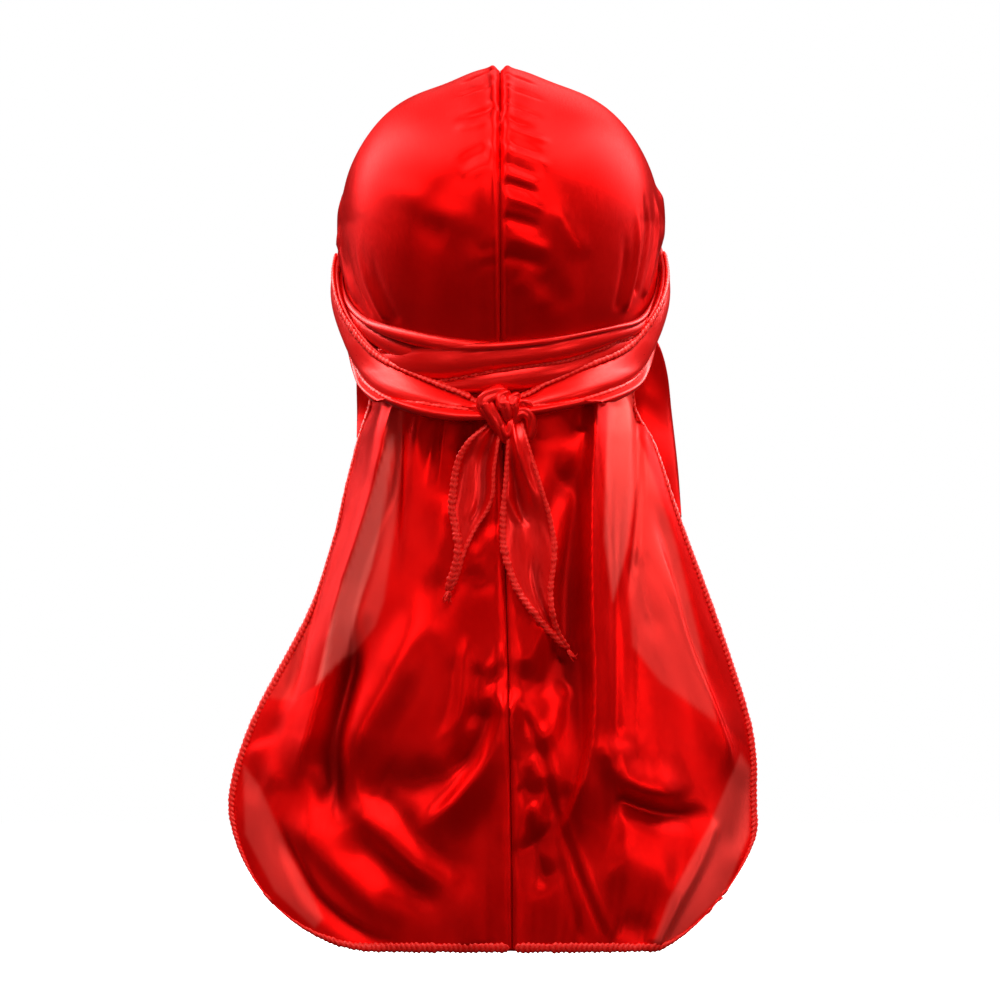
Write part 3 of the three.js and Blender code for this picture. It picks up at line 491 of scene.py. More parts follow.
def tail_places(side, top_turn, top_z):
    """Turn and height of each point of the tail's grid, spread between its four edges."""
    hem, foot = tail_edges(side, top_z[-1])
    first = np.stack([top_turn / hem_turn(top_z), top_z], axis=-1)[None]
    t = np.linspace(0, 1, TAIL_ROWS + 1)[1:, None, None]
    crowding = blend(SEAM_CROWDING, 1.0, smooth(t[..., 0], 0, 0.3))
    v = np.linspace(0, 1, COLUMNS + 1)[None] ** crowding
    seam_foot, corner = foot(np.array([0.0]))[0], hem(np.array([1.0]))[0]
    down = blend(first, foot(v), t)
    v = v[..., None]
    across = blend(blend(first[:, :1], seam_foot, t), hem(t[..., 0]), v)
    counted_twice = blend(blend(first[:, :1], first[:, -1:], v), blend(seam_foot, corner, v), t)
    place = down + across - counted_twice
    return place[..., 0] * hem_turn(place[..., 1]), place[..., 1]


def panel_places(side):
    """Turn and height of the whole panel's grid."""
    turn, z = crown_places()
    tail_turn, tail_z = tail_places(side, turn[-1], z[-1])
    return np.concatenate([turn, tail_turn]), np.concatenate([z, tail_z])


def grid_normals(grid, side):
    """The way out at each point of a grid."""
    down = np.gradient(grid, axis=0)
    across = np.gradient(grid, axis=1)
    return unit(np.cross(down, across) * side)


print("a panel's grid:", CROWN_ROWS + TAIL_ROWS + 1, "by", COLUMNS + 1, "points")

# %% [markdown]
# Folds are what make satin look like satin. A cloth simulation would give folds, but other ones than
# this durag's. So each fold is a stroke: a short path of x and z as seen from behind, a width, and a
# rise, which is negative for a hollow. A lean makes one flank steep and the other one long, as gravity
# does, and keen gives a sharper crest. fade says over which share of its length a fold starts and ends.
# The crown comes first: gathers that the seam's stretched thread draws in, slack beside them, and the
# folds that the ties press into the sides.

# %% The crown's folds
Fold = namedtuple("Fold", "name width rise lean keen fade path")


def fold(name, width, rise, path, lean=0.0, keen=0.0, fade=(0.25, 0.3)):
    """One fold. What isn't said is as on most folds: upright, round, and fading at both ends."""
    return Fold(name, width, rise, lean, keen, fade, path)


CROWN_FOLDS = [
    fold("gather_left_1", 2.4, -0.9, [(-1, -2), (-10, -4), (-21, -7.5)]),
    fold("gather_left_2", 2.6, -0.8, [(-2, -10.5), (-13, -12), (-26, -14.5)]),
    fold("gather_left_3", 3.4, -1.5, [(-1, -21.5), (-10, -24), (-25, -26.5)], fade=(0.1, 0.45)),
    fold("gather_left_3_lip", 4.0, 0.8, [(-2, -27), (-12, -30.5), (-24, -31)]),
    fold("gather_left_4", 4.5, -0.8, [(-3, -43), (-12, -46), (-21, -51.5)]),
    fold("gather_left_4_lip", 4.5, 0.6, [(-3, -51), (-12, -54), (-20, -58)]),
    fold("gather_left_5", 2.4, -0.5, [(-1, -92), (-7, -93), (-12, -95)]),
    fold("gather_left_6", 2.4, -0.5, [(-1, -100), (-7, -100.5), (-12, -102)]),
    fold("swell_left", 8.0, 1.5, [(-62, -60), (-42, -68), (-22, -78), (-5, -84)], fade=(0.4, 0.3)),
    fold("swell_left_low", 7.0, 1.0, [(-30, -84), (-18, -92), (-10, -104)]),
    fold("swell_right", 7.0, 1.4, [(26, -70), (34, -84), (44, -98)]),
    fold("slack_left", 9.0, -1.1, [(-44, -78), (-30, -86), (-14, -92), (-4, -94)]),
    fold("gather_right_1", 2.4, -0.8, [(1, -4.5), (10, -6), (21, -9)], fade=(0.1, 0.4)),
    fold("gather_right_2", 2.2, -0.8, [(1, -11.5), (12, -13.5), (25, -16.5)], fade=(0.1, 0.4)),
    fold("gather_right_3", 2.4, -1.0, [(1, -19), (12, -22), (24, -26)], fade=(0.1, 0.4)),
    fold("gather_right_4", 2.8, -1.3, [(1, -27), (9, -29.5), (19, -31.5)], fade=(0.1, 0.4)),
    fold("gather_right_4_lip", 3.0, 1.0, [(1, -32), (12, -36), (27, -39)]),
    fold("gather_right_5", 2.6, -0.9, [(1, -39), (11, -42), (24, -46.5)], fade=(0.1, 0.4)),
    fold("gather_right_5_lip", 3.0, 0.9, [(1, -44), (12, -47.5), (26, -52)]),
    fold("gather_right_6", 2.8, -0.9, [(1, -50), (11, -53.5), (23, -58.5)], fade=(0.1, 0.4)),
    fold("gather_right_6_lip", 3.0, 0.7, [(1, -55), (10, -58.5), (20, -62)]),
    fold("gather_right_7", 3.2, -1.3, [(1, -60), (11, -62.5), (21, -66.5)], fade=(0.1, 0.4)),
    fold("gather_right_7_lip", 3.2, 1.0, [(1, -67), (11, -70), (24, -74)]),
    fold("gather_right_8", 3.4, -1.4, [(1, -77), (11, -79.5), (23, -83.5)], fade=(0.1, 0.4)),
    fold("gather_right_8_lip", 3.8, 1.1, [(2, -86), (13, -90), (26, -94)]),
    fold("gather_right_9", 3.8, -1.5, [(1, -96), (13, -98.5), (26, -102.5)], fade=(0.1, 0.5)),
    fold("slack_right", 6.0, 1.1, [(7, -106), (14, -113), (20, -125)]),
    fold("slack_right_low", 7.0, -0.9, [(20, -104), (28, -114), (34, -124)]),
    fold("side_left_1", 3.4, 1.8, [(-79, -74), (-78.5, -92), (-75.5, -106), (-70, -122)], fade=(0.3, 0.1)),
    fold("side_left_2", 3.2, -1.4, [(-76, -84), (-74.5, -100), (-68, -118), (-62, -128)], fade=(0.4, 0.1)),
    fold("side_left_3", 3.6, 1.4, [(-71, -84), (-69, -98), (-63, -114), (-55, -130)], fade=(0.5, 0.1)),
    fold("side_left_4", 4.4, -0.9, [(-64, -92), (-60, -108), (-50, -130)], fade=(0.5, 0.1)),
    fold("side_right_1", 3.2, 2.0, [(76, -60), (77.5, -80), (75, -100), (70, -118)], fade=(0.3, 0.1)),
    fold("side_right_2", 2.8, -2.0, [(71, -62), (73, -78), (71, -96), (66, -116)], fade=(0.3, 0.1)),
    fold("side_right_3", 3.4, 1.6, [(67, -68), (68, -84), (66, -104), (61, -124)], fade=(0.4, 0.1)),
    fold("side_right_4", 3.4, -1.2, [(61, -80), (61.5, -98), (57, -124)], fade=(0.5, 0.1)),
    fold("puff_left", 12, 1.6, [(-78, -66), (-80, -82), (-78, -100)]),
    fold("puff_right", 10, 2.6, [(79, -58), (80, -74), (78, -92)]),
]
print("folds on the crown:", len(CROWN_FOLDS))

# %% [markdown]
# The tail hangs from the ties in pleats that fan out downwards. On its left half one long ridge runs
# beside the hem, and the slack cloth below falls into a broad shoulder, a crescent and a few sweeps.

# %% The tail's folds, left half
LEFT_RIDGE_PATH = [(-50, -165), (-53, -184), (-58, -208), (-63.5, -228), (-69, -245), (-74, -259),
                   (-80.5, -281), (-87, -310), (-94, -337), (-105, -366)]
TAIL_LEFT_FOLDS = [
    fold("left_long_ridge", 9.5, 6.6, LEFT_RIDGE_PATH, lean=0.35, keen=0.2, fade=(0.0, 0.15)),
    fold("left_long_ridge_edge", 2.6, 1.4, LEFT_RIDGE_PATH, lean=0.3, keen=0.3, fade=(0.05, 0.15)),
    fold("left_long_valley", 6.4, -2, [(-52, -196), (-62, -236), (-72, -270), (-80, -306), (-88, -342)],
         fade=(0.15, 0.3)),
    fold("left_outer_valley", 8.0, -3.4, [(-74, -206), (-88, -244), (-98, -282), (-108, -318), (-118, -346)]),
    fold("left_shoulder", 13.8, 7.7, [(-34, -258), (-41, -280), (-51, -306), (-65, -331), (-77, -358)],
         lean=0.15, fade=(0.45, 0.25)),
    fold("left_gully", 10.0, -8.4, [(-66, -272), (-76, -300), (-82, -330), (-84, -358), (-79, -384)],
         fade=(0.3, 0.25)),
    fold("left_knee", 9.5, 3.6, [(-77, -364), (-60, -381), (-44, -396), (-24, -412)], lean=-0.3),
    fold("left_knee_valley", 7.4, -3, [(-70, -358), (-52, -372), (-34, -392), (-16, -406)]),
    fold("left_knee_under", 9.5, -3, [(-80, -382), (-62, -396), (-44, -410), (-26, -424)]),
    fold("left_sweep", 10.6, 4, [(-108, -372), (-94, -385), (-82, -398), (-63, -416), (-46, -431)],
         lean=-0.2),
    fold("left_sweep_edge", 4.8, -3, [(-112, -374), (-102, -396), (-90, -416), (-68, -432), (-44, -440)],
         lean=0.3),
    fold("left_crescent", 8.5, 7.7, [(3, -309), (1, -330), (-8, -351), (-21, -368), (-33, -378), (-45, -384)],
         lean=-0.25, keen=0.15, fade=(0.15, 0.3)),
    fold("left_crescent_valley", 8, -4.3, [(-4, -316), (-8, -334), (-18, -348), (-33, -360)],
         fade=(0.2, 0.4)),
    fold("left_pocket", 12.7, -3.6, [(-66, -350), (-54, -357), (-40, -358), (-26, -348)]),
    fold("left_hook", 4.2, 1.7, [(-16, -282), (-18, -304), (-20, -326), (-28, -338)], keen=0.2),
    fold("left_hook_under", 4.2, -1.7, [(-10, -296), (-12, -318), (-17, -334)]),
    fold("left_rib", 5.3, -1.3, [(-24, -292), (-26, -316), (-34, -340)]),
    fold("left_pinch_1", 4.8, 3.6, [(-25, -172), (-27, -190), (-31, -216)], lean=-0.35, keen=0.3,
         fade=(0.0, 0.7)),
    fold("left_pinch_2", 6.9, 3, [(-38, -172), (-41, -190), (-44, -226)], keen=0.1, fade=(0.0, 0.7)),
    fold("left_tuck_1", 6.9, -4.3, [(-14, -174), (-15, -200), (-16, -236)], fade=(0.0, 0.6)),
    fold("left_tuck_2", 5.8, -4, [(-50, -172), (-51, -204), (-52, -262)], lean=0.3, fade=(0.0, 0.6)),
    fold("left_tuck_3", 3.4, -1.7, [(-32.5, -174), (-34.5, -192), (-36, -216)], fade=(0.0, 0.6)),
    fold("left_fall_1", 8.5, 1.5, [(-28, -214), (-27, -236), (-30, -262)]),
    fold("left_fall_2", 8.5, -1.3, [(-22, -236), (-30, -262), (-34, -290)]),
    fold("left_flare", 8.5, 2, [(-120, -336), (-116, -350), (-108, -364)]),
    fold("seam_crumple_1", 3.4, 1.1, [(2, -288), (-2, -298), (-10, -304)], keen=0.2),
    fold("seam_crumple_2", 3, -0.9, [(3, -297), (-1, -306), (-8, -311)]),
    fold("seam_crumple_3", 3.2, 0.8, [(1, -306), (-3, -313), (-10, -317)]),
    fold("left_cup", 7.4, 1.3, [(-20, -236), (-13, -247), (-5, -240), (-1, -228)]),
    fold("left_cup_under", 6.4, -0.9, [(-18, -252), (-11, -260), (-3, -254)]),
    fold("left_hem_wave", 8.5, -1.5, [(-108, -320), (-118, -350), (-122, -372)]),
    fold("left_foot_wave", 9.5, 1.3, [(-24, -398), (-20, -418), (-16, -440)], fade=(0.4, 0.05)),
]
print("folds on the tail's left half:", len(TAIL_LEFT_FOLDS))

# %% [markdown]
# On the right half a deep valley lies beside a long, sharp fold edge. Short slanting folds cross the
# valley, fine creases fan out from the seam to the foot, and a swag hangs near the corner.

# %% The tail's folds, right half
RIGHT_EDGE_PATH = [(44, -172), (44.5, -210), (45, -273), (46.5, -312), (44.5, -345), (37, -371), (27, -388)]
TAIL_RIGHT_FOLDS = [
    fold("right_fold_edge", 8.5, 8.6, RIGHT_EDGE_PATH, lean=-0.6, keen=0.3, fade=(0.0, 0.15)),
    fold("right_fold_edge_crest", 2.4, 2.2, RIGHT_EDGE_PATH, lean=-0.3, keen=0.6, fade=(0.0, 0.15)),
    fold("right_deep_valley", 10.6, -6.3, [(31, -190), (34, -220), (34, -270), (33.5, -320), (31, -352)],
         fade=(0.15, 0.25)),
    fold("right_pleat_line", 3.2, -1.5, [(55, -200), (56, -250), (57, -320), (58, -380), (58, -410)],
         fade=(0.2, 0.4)),
    fold("right_bright_pleat", 7.4, 2.3, [(62, -172), (61, -206), (58, -250), (56, -284)], keen=0.1,
         fade=(0.0, 0.6)),
    fold("right_thin_rib", 3.2, 1.3, [(52.5, -196), (52, -236), (54, -276)], keen=0.3),
    fold("right_side_crease", 4.8, -3, [(69, -176), (69.5, -206), (66, -246), (60, -284)], lean=0.3,
         fade=(0.0, 0.4)),
    fold("right_foot_valley", 8.5, -3, [(34, -356), (24, -378), (12, -394)]),
    fold("right_slant_0", 5.3, 3, [(41, -182), (36, -196), (28, -208)], keen=0.2, fade=(0.1, 0.5)),
    fold("right_slant_1", 6.9, 3.6, [(36, -204), (32, -226), (26, -250), (20, -268)], lean=0.2, keen=0.1),
    fold("right_slant_1_under", 6.4, -2, [(29, -206), (22, -232), (14, -256)]),
    fold("right_slant_2", 7.5, 4.6, [(24, -274), (17, -290), (9, -306)], keen=0.1),
    fold("right_slant_2_under", 5.8, -2, [(30, -284), (24, -304), (18, -318)]),
    fold("right_slant_3", 6.9, 3.2, [(34, -306), (27, -328), (16, -344)], keen=0.1),
    fold("right_bud_1", 5.8, 1.5, [(12, -345), (17, -350), (22, -360)]),
    fold("right_bud_2", 5.3, 1.2, [(14, -368), (18, -375), (24, -382)]),
    fold("right_bud_dip", 5.3, -1.3, [(9, -358), (15, -363), (19, -368)]),
    fold("right_crease_1", 2.3, -0.9, [(8, -316), (19, -341), (27, -370), (39, -404), (53, -438)],
         fade=(0.1, 0.1)),
    fold("right_crease_1_lip", 2.8, 0.7, [(12, -316), (23, -341), (31, -370), (43, -404), (57, -438)],
         fade=(0.1, 0.1)),
    fold("right_crease_2", 2.5, -0.8, [(7, -341), (13, -370), (25, -418)], fade=(0.1, 0.3)),
    fold("right_crease_3", 2.5, -0.7, [(24, -372), (31, -404), (41, -438)], fade=(0.2, 0.1)),
    fold("right_long_ridge", 8.5, 4.3, [(76, -230), (85, -268), (92.5, -293), (102.5, -318), (110, -339),
         (117, -356)], lean=0.45, keen=0.2, fade=(0.3, 0.15)),
    fold("right_long_dip", 8.5, -2.3, [(76, -212), (86, -246), (96, -282), (106, -308), (116, -334)],
         fade=(0.2, 0.3)),
    fold("right_inner_dip", 6.4, -1.7, [(66, -240), (72, -268), (78, -292)]),
    fold("right_swag", 10.6, 5.9, [(54, -330), (56, -350), (66, -359), (82, -362), (96, -356)], lean=-0.4),
    fold("right_swag_crease", 6.9, -4.6, [(56, -362), (70, -369), (88, -374), (106, -373)], lean=0.3,
         fade=(0.15, 0.3)),
    fold("right_lower_swell", 15.9, 2.3, [(52, -390), (72, -402), (92, -404)]),
    fold("right_foot_dip_1", 9.5, -2.2, [(10, -384), (17, -397), (26, -412)]),
    fold("right_foot_dip_2", 8.5, -2.2, [(58, -426), (68, -430), (76, -434)]),
    fold("right_hem_wave", 9.5, -1.6, [(122, -350), (119, -376), (110, -398)]),
    fold("right_low_fold", 5.3, 2, [(108, -376), (98, -398), (84, -424), (76, -440)], lean=0.3,
         fade=(0.1, 0.05)),
]
print("folds on the tail's right half:", len(TAIL_RIGHT_FOLDS))

# %% [markdown]
# A fold is laid by asking each grid point near its path how far beside the path it is, and how far
# along. A bell curve of the first gives the rise, and the fades of the second end it softly. The crest
# also slides a little to its steep side, so that the fold leans over. Adding all folds up first and
# moving the points once keeps one fold from bending the next.

# %% Laying a fold
FOLD_STEPS = 14
FOLD_REACH = 2.4
BELL, CREST = 1.4, 2.0
LEAN_SLIDE = 0.5


def smooth_path(points, count):
    """Points spread along a smooth curve through a few given ones."""
    points = np.array(points, float)
    walked = np.concatenate([[0], np.cumsum(np.linalg.norm(np.diff(points, axis=0), axis=1))])
    columns = {"walked": walked, **{str(k): points[:, k] for k in range(points.shape[1])}}
    at = np.linspace(0, walked[-1], count)
    return np.stack([read(columns, at, str(k)) for k in range(points.shape[1])], axis=-1)


def lay_fold(stroke, points, normals, moved):
    """Add one fold's rise, and the sideways slide of its crest, to the points near its path."""
    path = smooth_path(stroke.path, FOLD_STEPS)
    line = on_cloth(path[:, 0], path[:, 1])
    reach = FOLD_REACH * stroke.width
    near = np.all((points > line.min(0) - reach) & (points < line.max(0) + reach), axis=-1)
    spot, out = points[near], normals[near]
    best = np.full(len(spot), np.inf)
    along, beside, sideways = np.zeros(len(spot)), np.zeros(len(spot)), np.zeros_like(spot)
    for i in range(len(line) - 1):
        run = line[i + 1] - line[i]
        t = np.clip((spot - line[i]) @ run / (run @ run), 0, 1)
        away = spot - line[i] - t[:, None] * run
        distance = np.linalg.norm(away, axis=1)
        right = unit(np.cross(run, out))
        closer = distance < best
        best = np.where(closer, distance, best)
        along = np.where(closer, (i + t) / (len(line) - 1), along)
        beside = np.where(closer, np.sum(away * right, axis=1), beside)
        sideways = np.where(closer[:, None], right, sideways)
    flank = stroke.width * (1 + stroke.lean * np.sign(beside))
    q = best / flank
    profile = (1 - stroke.keen) * np.exp(-BELL * q * q) + stroke.keen * np.exp(-CREST * q)
    start, end = stroke.fade
    profile = profile * (1 if start == 0 else smooth(along, 0, start))
    profile = profile * (1 if end == 0 else 1 - smooth(along, 1 - end, 1))
    slide = stroke.lean * abs(stroke.rise) * LEAN_SLIDE * profile
    moved[near] += out * (stroke.rise * profile)[:, None] - sideways * slide[:, None]


ALL_FOLDS = CROWN_FOLDS + TAIL_LEFT_FOLDS + TAIL_RIGHT_FOLDS
print("the highest fold:", max(stroke.rise for stroke in ALL_FOLDS), "mm")

# %% [markdown]
# The seam is sewn with a stretched thread, which draws the cloth in: a groove with a lip on each side,
# deep on top of the crown and shallow below. The pull also stretches the cloth beside the seam like a
# tent, so it dips on both sides of the crown's ridge. These are plain curves of the distance from the
# seam. Strokes like the folds' would have to follow the seam exactly, and curves do so by themselves.

# %% The seam's relief
TENT_DIP, TENT_OFFSET, TENT_SPREAD = 3.6, 30, 19
GROOVE_DEPTH, GROOVE_WIDTHS = 2.2, (0.5, 2.0)
LIP_HEIGHT, LIP_OFFSET, LIP_SPREAD = 1.2, 3.6, 2.6
LOW_PULL, PULL_HEIGHTS = 0.45, (-64, -50)


def seam_relief(points):
    """The crown's pinch on both sides of the seam, the seam's groove and its two lips."""
    z = points[..., 2]
    across = np.abs(points[..., 0] - seam_x(z))
    top = smooth(z, -0.8 * CROWN_HEIGHT, -0.15 * CROWN_HEIGHT)
    pinch = -TENT_DIP * top * np.exp(-(((across - TENT_OFFSET) / TENT_SPREAD) ** 2))
    drawn = blend(LOW_PULL, 1.0, smooth(z, *PULL_HEIGHTS))
    wobble = 1 + 0.35 * waves(points * [0, 1, 1], 14, 3)
    groove = -GROOVE_DEPTH * drawn * np.exp(-((across / blend(*GROOVE_WIDTHS, drawn)) ** 2))
    lip = LIP_HEIGHT * drawn ** 2 * wobble * np.exp(-(((across - LIP_OFFSET) / LIP_SPREAD) ** 2))
    return pinch + groove + lip


print("the seam's groove is up to", GROOVE_DEPTH, "mm deep")

# %% [markdown]
# Now a panel's relief comes together. Under the ties the cloth is held flat, so every fold fades out
# there. Last come soft random hills, low on the taut crown and higher on the loose tail. The folds also
# say how hollow each point lies, and there a deeper red is painted in as shade, with a thin painted line
# of shade along the seam.

# %% A panel's outer face
TIE_WIDTH = 24
HELD_ABOVE, HELD_BELOW = 15, 22
NEAR_SEAM = 2.5
# Height and wavelength of the hills
TAIL_HILLS = (0.6, 44), (0.1, 18)
CROWN_HILLS = 0.12, 40
# How deep a fold sinks for full painted shade, how much of that the crown gets, and the painted shade along
# the seam
FULL_SHADE_DEPTH, CROWN_SHADE_SHARE = 7.0, 0.6
SEAM_PAINTED_SHADE, SEAM_SHADE_WIDTH = 0.5, 0.9


def tie_line(points):
    """How far above the slanting line of the ties each point is."""
    return points[..., 2] + TIE_SIDE_DROP - TIE_TILT * points[..., 1]


def panel_surface(side):
    """The outer face of one panel, with every fold on it, and the shade painted on it where it lies hollow.
    """
    turn, z = panel_places(side)
    base = skin(side, turn, z)
    normals = grid_normals(base, side)
    points = base + normals * CLOTH
    folds = np.zeros_like(points)
    for stroke in ALL_FOLDS:
        second_x = stroke.path[1][0]
        if second_x * side > 0 or abs(second_x) < NEAR_SEAM:
            lay_fold(stroke, points, normals, folds)
    level = tie_line(points)
    on_crown = smooth(level, HELD_ABOVE - 6, HELD_ABOVE + 6)
    on_tail = smooth(-level, HELD_BELOW - 13, HELD_BELOW + 4)
    free = np.maximum(on_crown, on_tail)
    (high, long_wave), (low, short_wave) = TAIL_HILLS
    tail_hills = (high * waves(points * [1, 1, 0.4], long_wave, 1 + side)
                  + low * waves(points * [1, 1, 0.5], short_wave, 5 + side))
    crown_hills = CROWN_HILLS[0] * waves(points, CROWN_HILLS[1], 9 + side)
    hills = np.where(level > 0, crown_hills, tail_hills)
    moved = folds * free[..., None] + normals * (seam_relief(points) + hills * free)[..., None]
    moved[:, 0, 0] = 0  # the seam's points stay in the middle, so the panels meet
    # Painted shade: a deeper red where the folds sink the cloth, less of it on the crown, and a thin line
    # along the seam
    hollow = np.clip(-np.sum(folds * normals, axis=-1) * free / FULL_SHADE_DEPTH, 0, 1)
    hollow = hollow * np.where(level > 0, CROWN_SHADE_SHARE, 1)
    from_seam = (points[..., 0] - seam_x(points[..., 2])) / SEAM_SHADE_WIDTH
    return points + moved, np.maximum(hollow, SEAM_PAINTED_SHADE * np.exp(-from_seam ** 2))


print("cloth is held flat from", HELD_BELOW, "mm below to", HELD_ABOVE, "mm above the ties' line")

# %% [markdown]
# The panels are sewn face to face, so each has a strip that turns in behind the seam. It is the seam
# allowance. It hardly shows, but it gives the seam its rounded edge, and no light can pass between the
# panels. Both strips lie over to the right, as they are pressed to one side after sewing.

# %% The seam allowance
SEAM_ALLOWANCE, SEAM_HALF_GAP = 4.5, 0.12
SATIN_THICKNESS = 0.5


def add_seam_allowance(outer, side):
    """Turn the cloth in along the seam, and return both faces of the whole wall."""
    normals = grid_normals(outer, side)
    inwards = np.broadcast_to([-side, 0.0, 0.0], normals[:, :1].shape)
    seam_place = outer[:, :1].copy()
    seam_place[..., 0] = seam_x(seam_place[..., 2]) + side * SEAM_HALF_GAP
    # Each step of the turned-in strip: how deep it lies, and how far it leans to the right
    turned_in = ((SEAM_ALLOWANCE, 1.6), (2.4, 0.9), (1.1, 0.25), (0.35, 0.0))
    inwards_here = unit(normals[:, :1] * [0, 1, 1])
    flange = [seam_place - inwards_here * depth + [lean, 0, 0] for depth, lean in turned_in]
    rounded = unit(normals[:, :1] + inwards)
    outer = np.concatenate(flange + [seam_place, outer[:, 1:]], axis=1)
    thick = np.concatenate([inwards] * len(turned_in) + [rounded, normals[:, 1:]], axis=1)
    return outer, outer - thick * SATIN_THICKNESS


print("the seam allowance is", SEAM_ALLOWANCE, "mm and the cloth", SATIN_THICKNESS, "mm thick")

# %% [markdown]
# Grids become meshes here. A single face would be quicker, but cloth has two faces and an edge, and both
# faces show on the tail. So a wall has an outer grid, an inner grid and four rims that close it. Each
# wall keeps a map in metres along and across the cloth, which the weave follows.

# %% From grids to meshes


def make_mesh(name, points, faces, material, cloth=None, values=None):
    """A smooth-shaded mesh object, from points in millimetres."""
    mesh = bpy.data.meshes.new(name)
    faces = faces if isinstance(faces, list) else faces.tolist()
    mesh.from_pydata((np.asarray(points) * MM).tolist(), [], faces)
    mesh.polygons.foreach_set("use_smooth", np.ones(len(mesh.polygons), bool))
    mesh.materials.append(material)
    if cloth is not None:
        corner = np.zeros(len(mesh.loops), np.int32)
        mesh.loops.foreach_get("vertex_index", corner)
        layer = mesh.uv_layers.new(name="cloth")
        layer.uv.foreach_set("vector", (np.asarray(cloth)[corner] * MM).ravel())
    for label, value in (values or {}).items():
        mesh.attributes.new(label, "FLOAT", "POINT").data.foreach_set("value", np.asarray(value, float))
    mesh.update()
    piece = bpy.data.objects.new(name, mesh)
    bpy.context.scene.collection.objects.link(piece)
    return piece


def join_meshes(name, parts, material, label):
    """One object from several closed meshes, each with its points, faces, cloth map and values."""
    faces, start = [], 0
    for points, quads, _, _ in parts:
        faces += [[index + start for index in face] for face in quads]
        start += len(points)
    points, cloth, values = [np.concatenate([part[k] for part in parts]) for k in (0, 2, 3)]
    return make_mesh(name, points, faces, material, cloth, {label: values})


def grid_faces(rows, columns, start=0, closed=False):
    """Quads of a grid. A closed grid joins its last column to its first."""
    i, j = np.meshgrid(np.arange(rows - 1), np.arange(columns if closed else columns - 1), indexing="ij")
    next_j = (j + 1) % columns
    quads = [i * columns + j, i * columns + next_j, (i + 1) * columns + next_j, (i + 1) * columns + j]
    return np.stack([q.ravel() for q in quads], axis=-1) + start


def grid_lengths(grid):
    """Distances across and along a grid, in millimetres, for the cloth's map."""
    across = np.linalg.norm(np.diff(grid, axis=1), axis=-1)
    along = np.linalg.norm(np.diff(grid, axis=0), axis=-1)
    across = np.concatenate([np.zeros((len(grid), 1)), np.cumsum(across, axis=1)], axis=1)
    along = np.concatenate([np.zeros((1, grid.shape[1])), np.cumsum(along, axis=0)], axis=0)
    return np.stack([across, along], axis=-1)


def wall(name, outer, inner, side, material, values=None):
    """A closed wall of cloth between two grids."""
    rows, columns = outer.shape[:2]
    count = rows * columns
    front = grid_faces(rows, columns)
    back = grid_faces(rows, columns, count)
    index = np.arange(count).reshape(rows, columns)
    ring = np.concatenate([index[0, :], index[1:, -1], index[-1, -2::-1], index[-2:0:-1, 0]])
    after = np.roll(ring, -1)
    rim = np.stack([ring, ring + count, after + count, after], axis=-1)
    if side > 0:
        faces = np.concatenate([front[:, ::-1], back, rim[:, ::-1]])
    else:
        faces = np.concatenate([front, back[:, ::-1], rim])
    points = np.concatenate([outer.reshape(-1, 3), inner.reshape(-1, 3)])
    cloth = np.tile(grid_lengths(outer).reshape(-1, 2), (2, 1))
    both = {label: np.tile(value.ravel(), 2) for label, value in (values or {}).items()}
    return make_mesh(name, points, faces, material, cloth, both)


def area_of(grid):
    """The area of a grid in square millimetres."""
    down = grid[1:, :-1] - grid[:-1, :-1]
    across = grid[:-1, 1:] - grid[:-1, :-1]
    return float(np.linalg.norm(np.cross(down, across), axis=-1).sum())


print("a grid of 3 by 4 points gives", len(grid_faces(3, 4)), "quads")

# %% [markdown]
# Thin satin lets light through where only one layer of it hangs. On the tail that is beside the long
# folds and along the hems, and each such place has a clear edge where a second layer begins. Real
# translucency would need the layers behind to be just right. It is safer to paint that light onto the
# cloth: each place is an outline, as seen from behind, with how strongly its painted light shows. Beside
# the hems the cloth is folded double, and there a deeper red is painted in as shade.

# %% The sheer and the double places
Patch = namedtuple("Patch", "strength outline")
# Single-layer places, where the light coming through is painted in as a paler pink
SHEER = [
    Patch(0.95, [(-55, -184), (-52.4, -186), (-58, -223), (-64, -252), (-69, -266), (-77, -295), (-88, -306),
                (-91, -309), (-85, -281), (-78.3, -259), (-73.3, -245), (-67.5, -227), (-61.8, -208)]),
    Patch(0.24, [(-46, -150), (-50, -205), (-53, -235), (-58, -268), (-62, -280), (-72, -293), (-88, -305),
                (-83, -280), (-74, -250), (-66, -222), (-58, -194), (-54, -150)]),
    Patch(0.14, [(-83, -238), (-88, -232), (-104, -290), (-116, -316), (-102, -318), (-96, -292)]),
    Patch(0.26, [(-128, -350), (-120, -360), (-104, -395), (-88, -425), (-92, -430), (-112, -412),
                (-127, -384)]),
    Patch(0.5, [(54, -150), (69, -150), (69, -206), (64, -240), (56, -268), (52, -236)]),
    Patch(0.26, [(69, -186), (76, -202), (88, -240), (100, -290), (108, -328), (98, -321), (80, -308),
                 (66, -290), (64, -262), (68, -226)]),
    Patch(0.34, [(120, -344), (125, -352), (124, -384), (112, -412), (86, -437), (76, -438), (84, -416),
                 (104, -380)]),
]
# Places folded double, where a deeper red is painted in as shade
SHADED_DOUBLE = [
    Patch(0.5, [(-70, -150), (-55, -166), (-56, -184), (-61.8, -208), (-67.5, -227), (-73.3, -245),
                (-78.3, -259), (-85, -281), (-91, -309), (-101, -317), (-96, -292), (-84, -238),
                (-88, -232), (-76, -196)]),
    Patch(0.4, [(79, -198), (90, -240), (102, -290), (110, -328), (124, -342), (118, -296), (106, -250),
                (86, -198)]),
]
PATCH_EDGE = 1.2
BELOW_TIES = (16, 26)


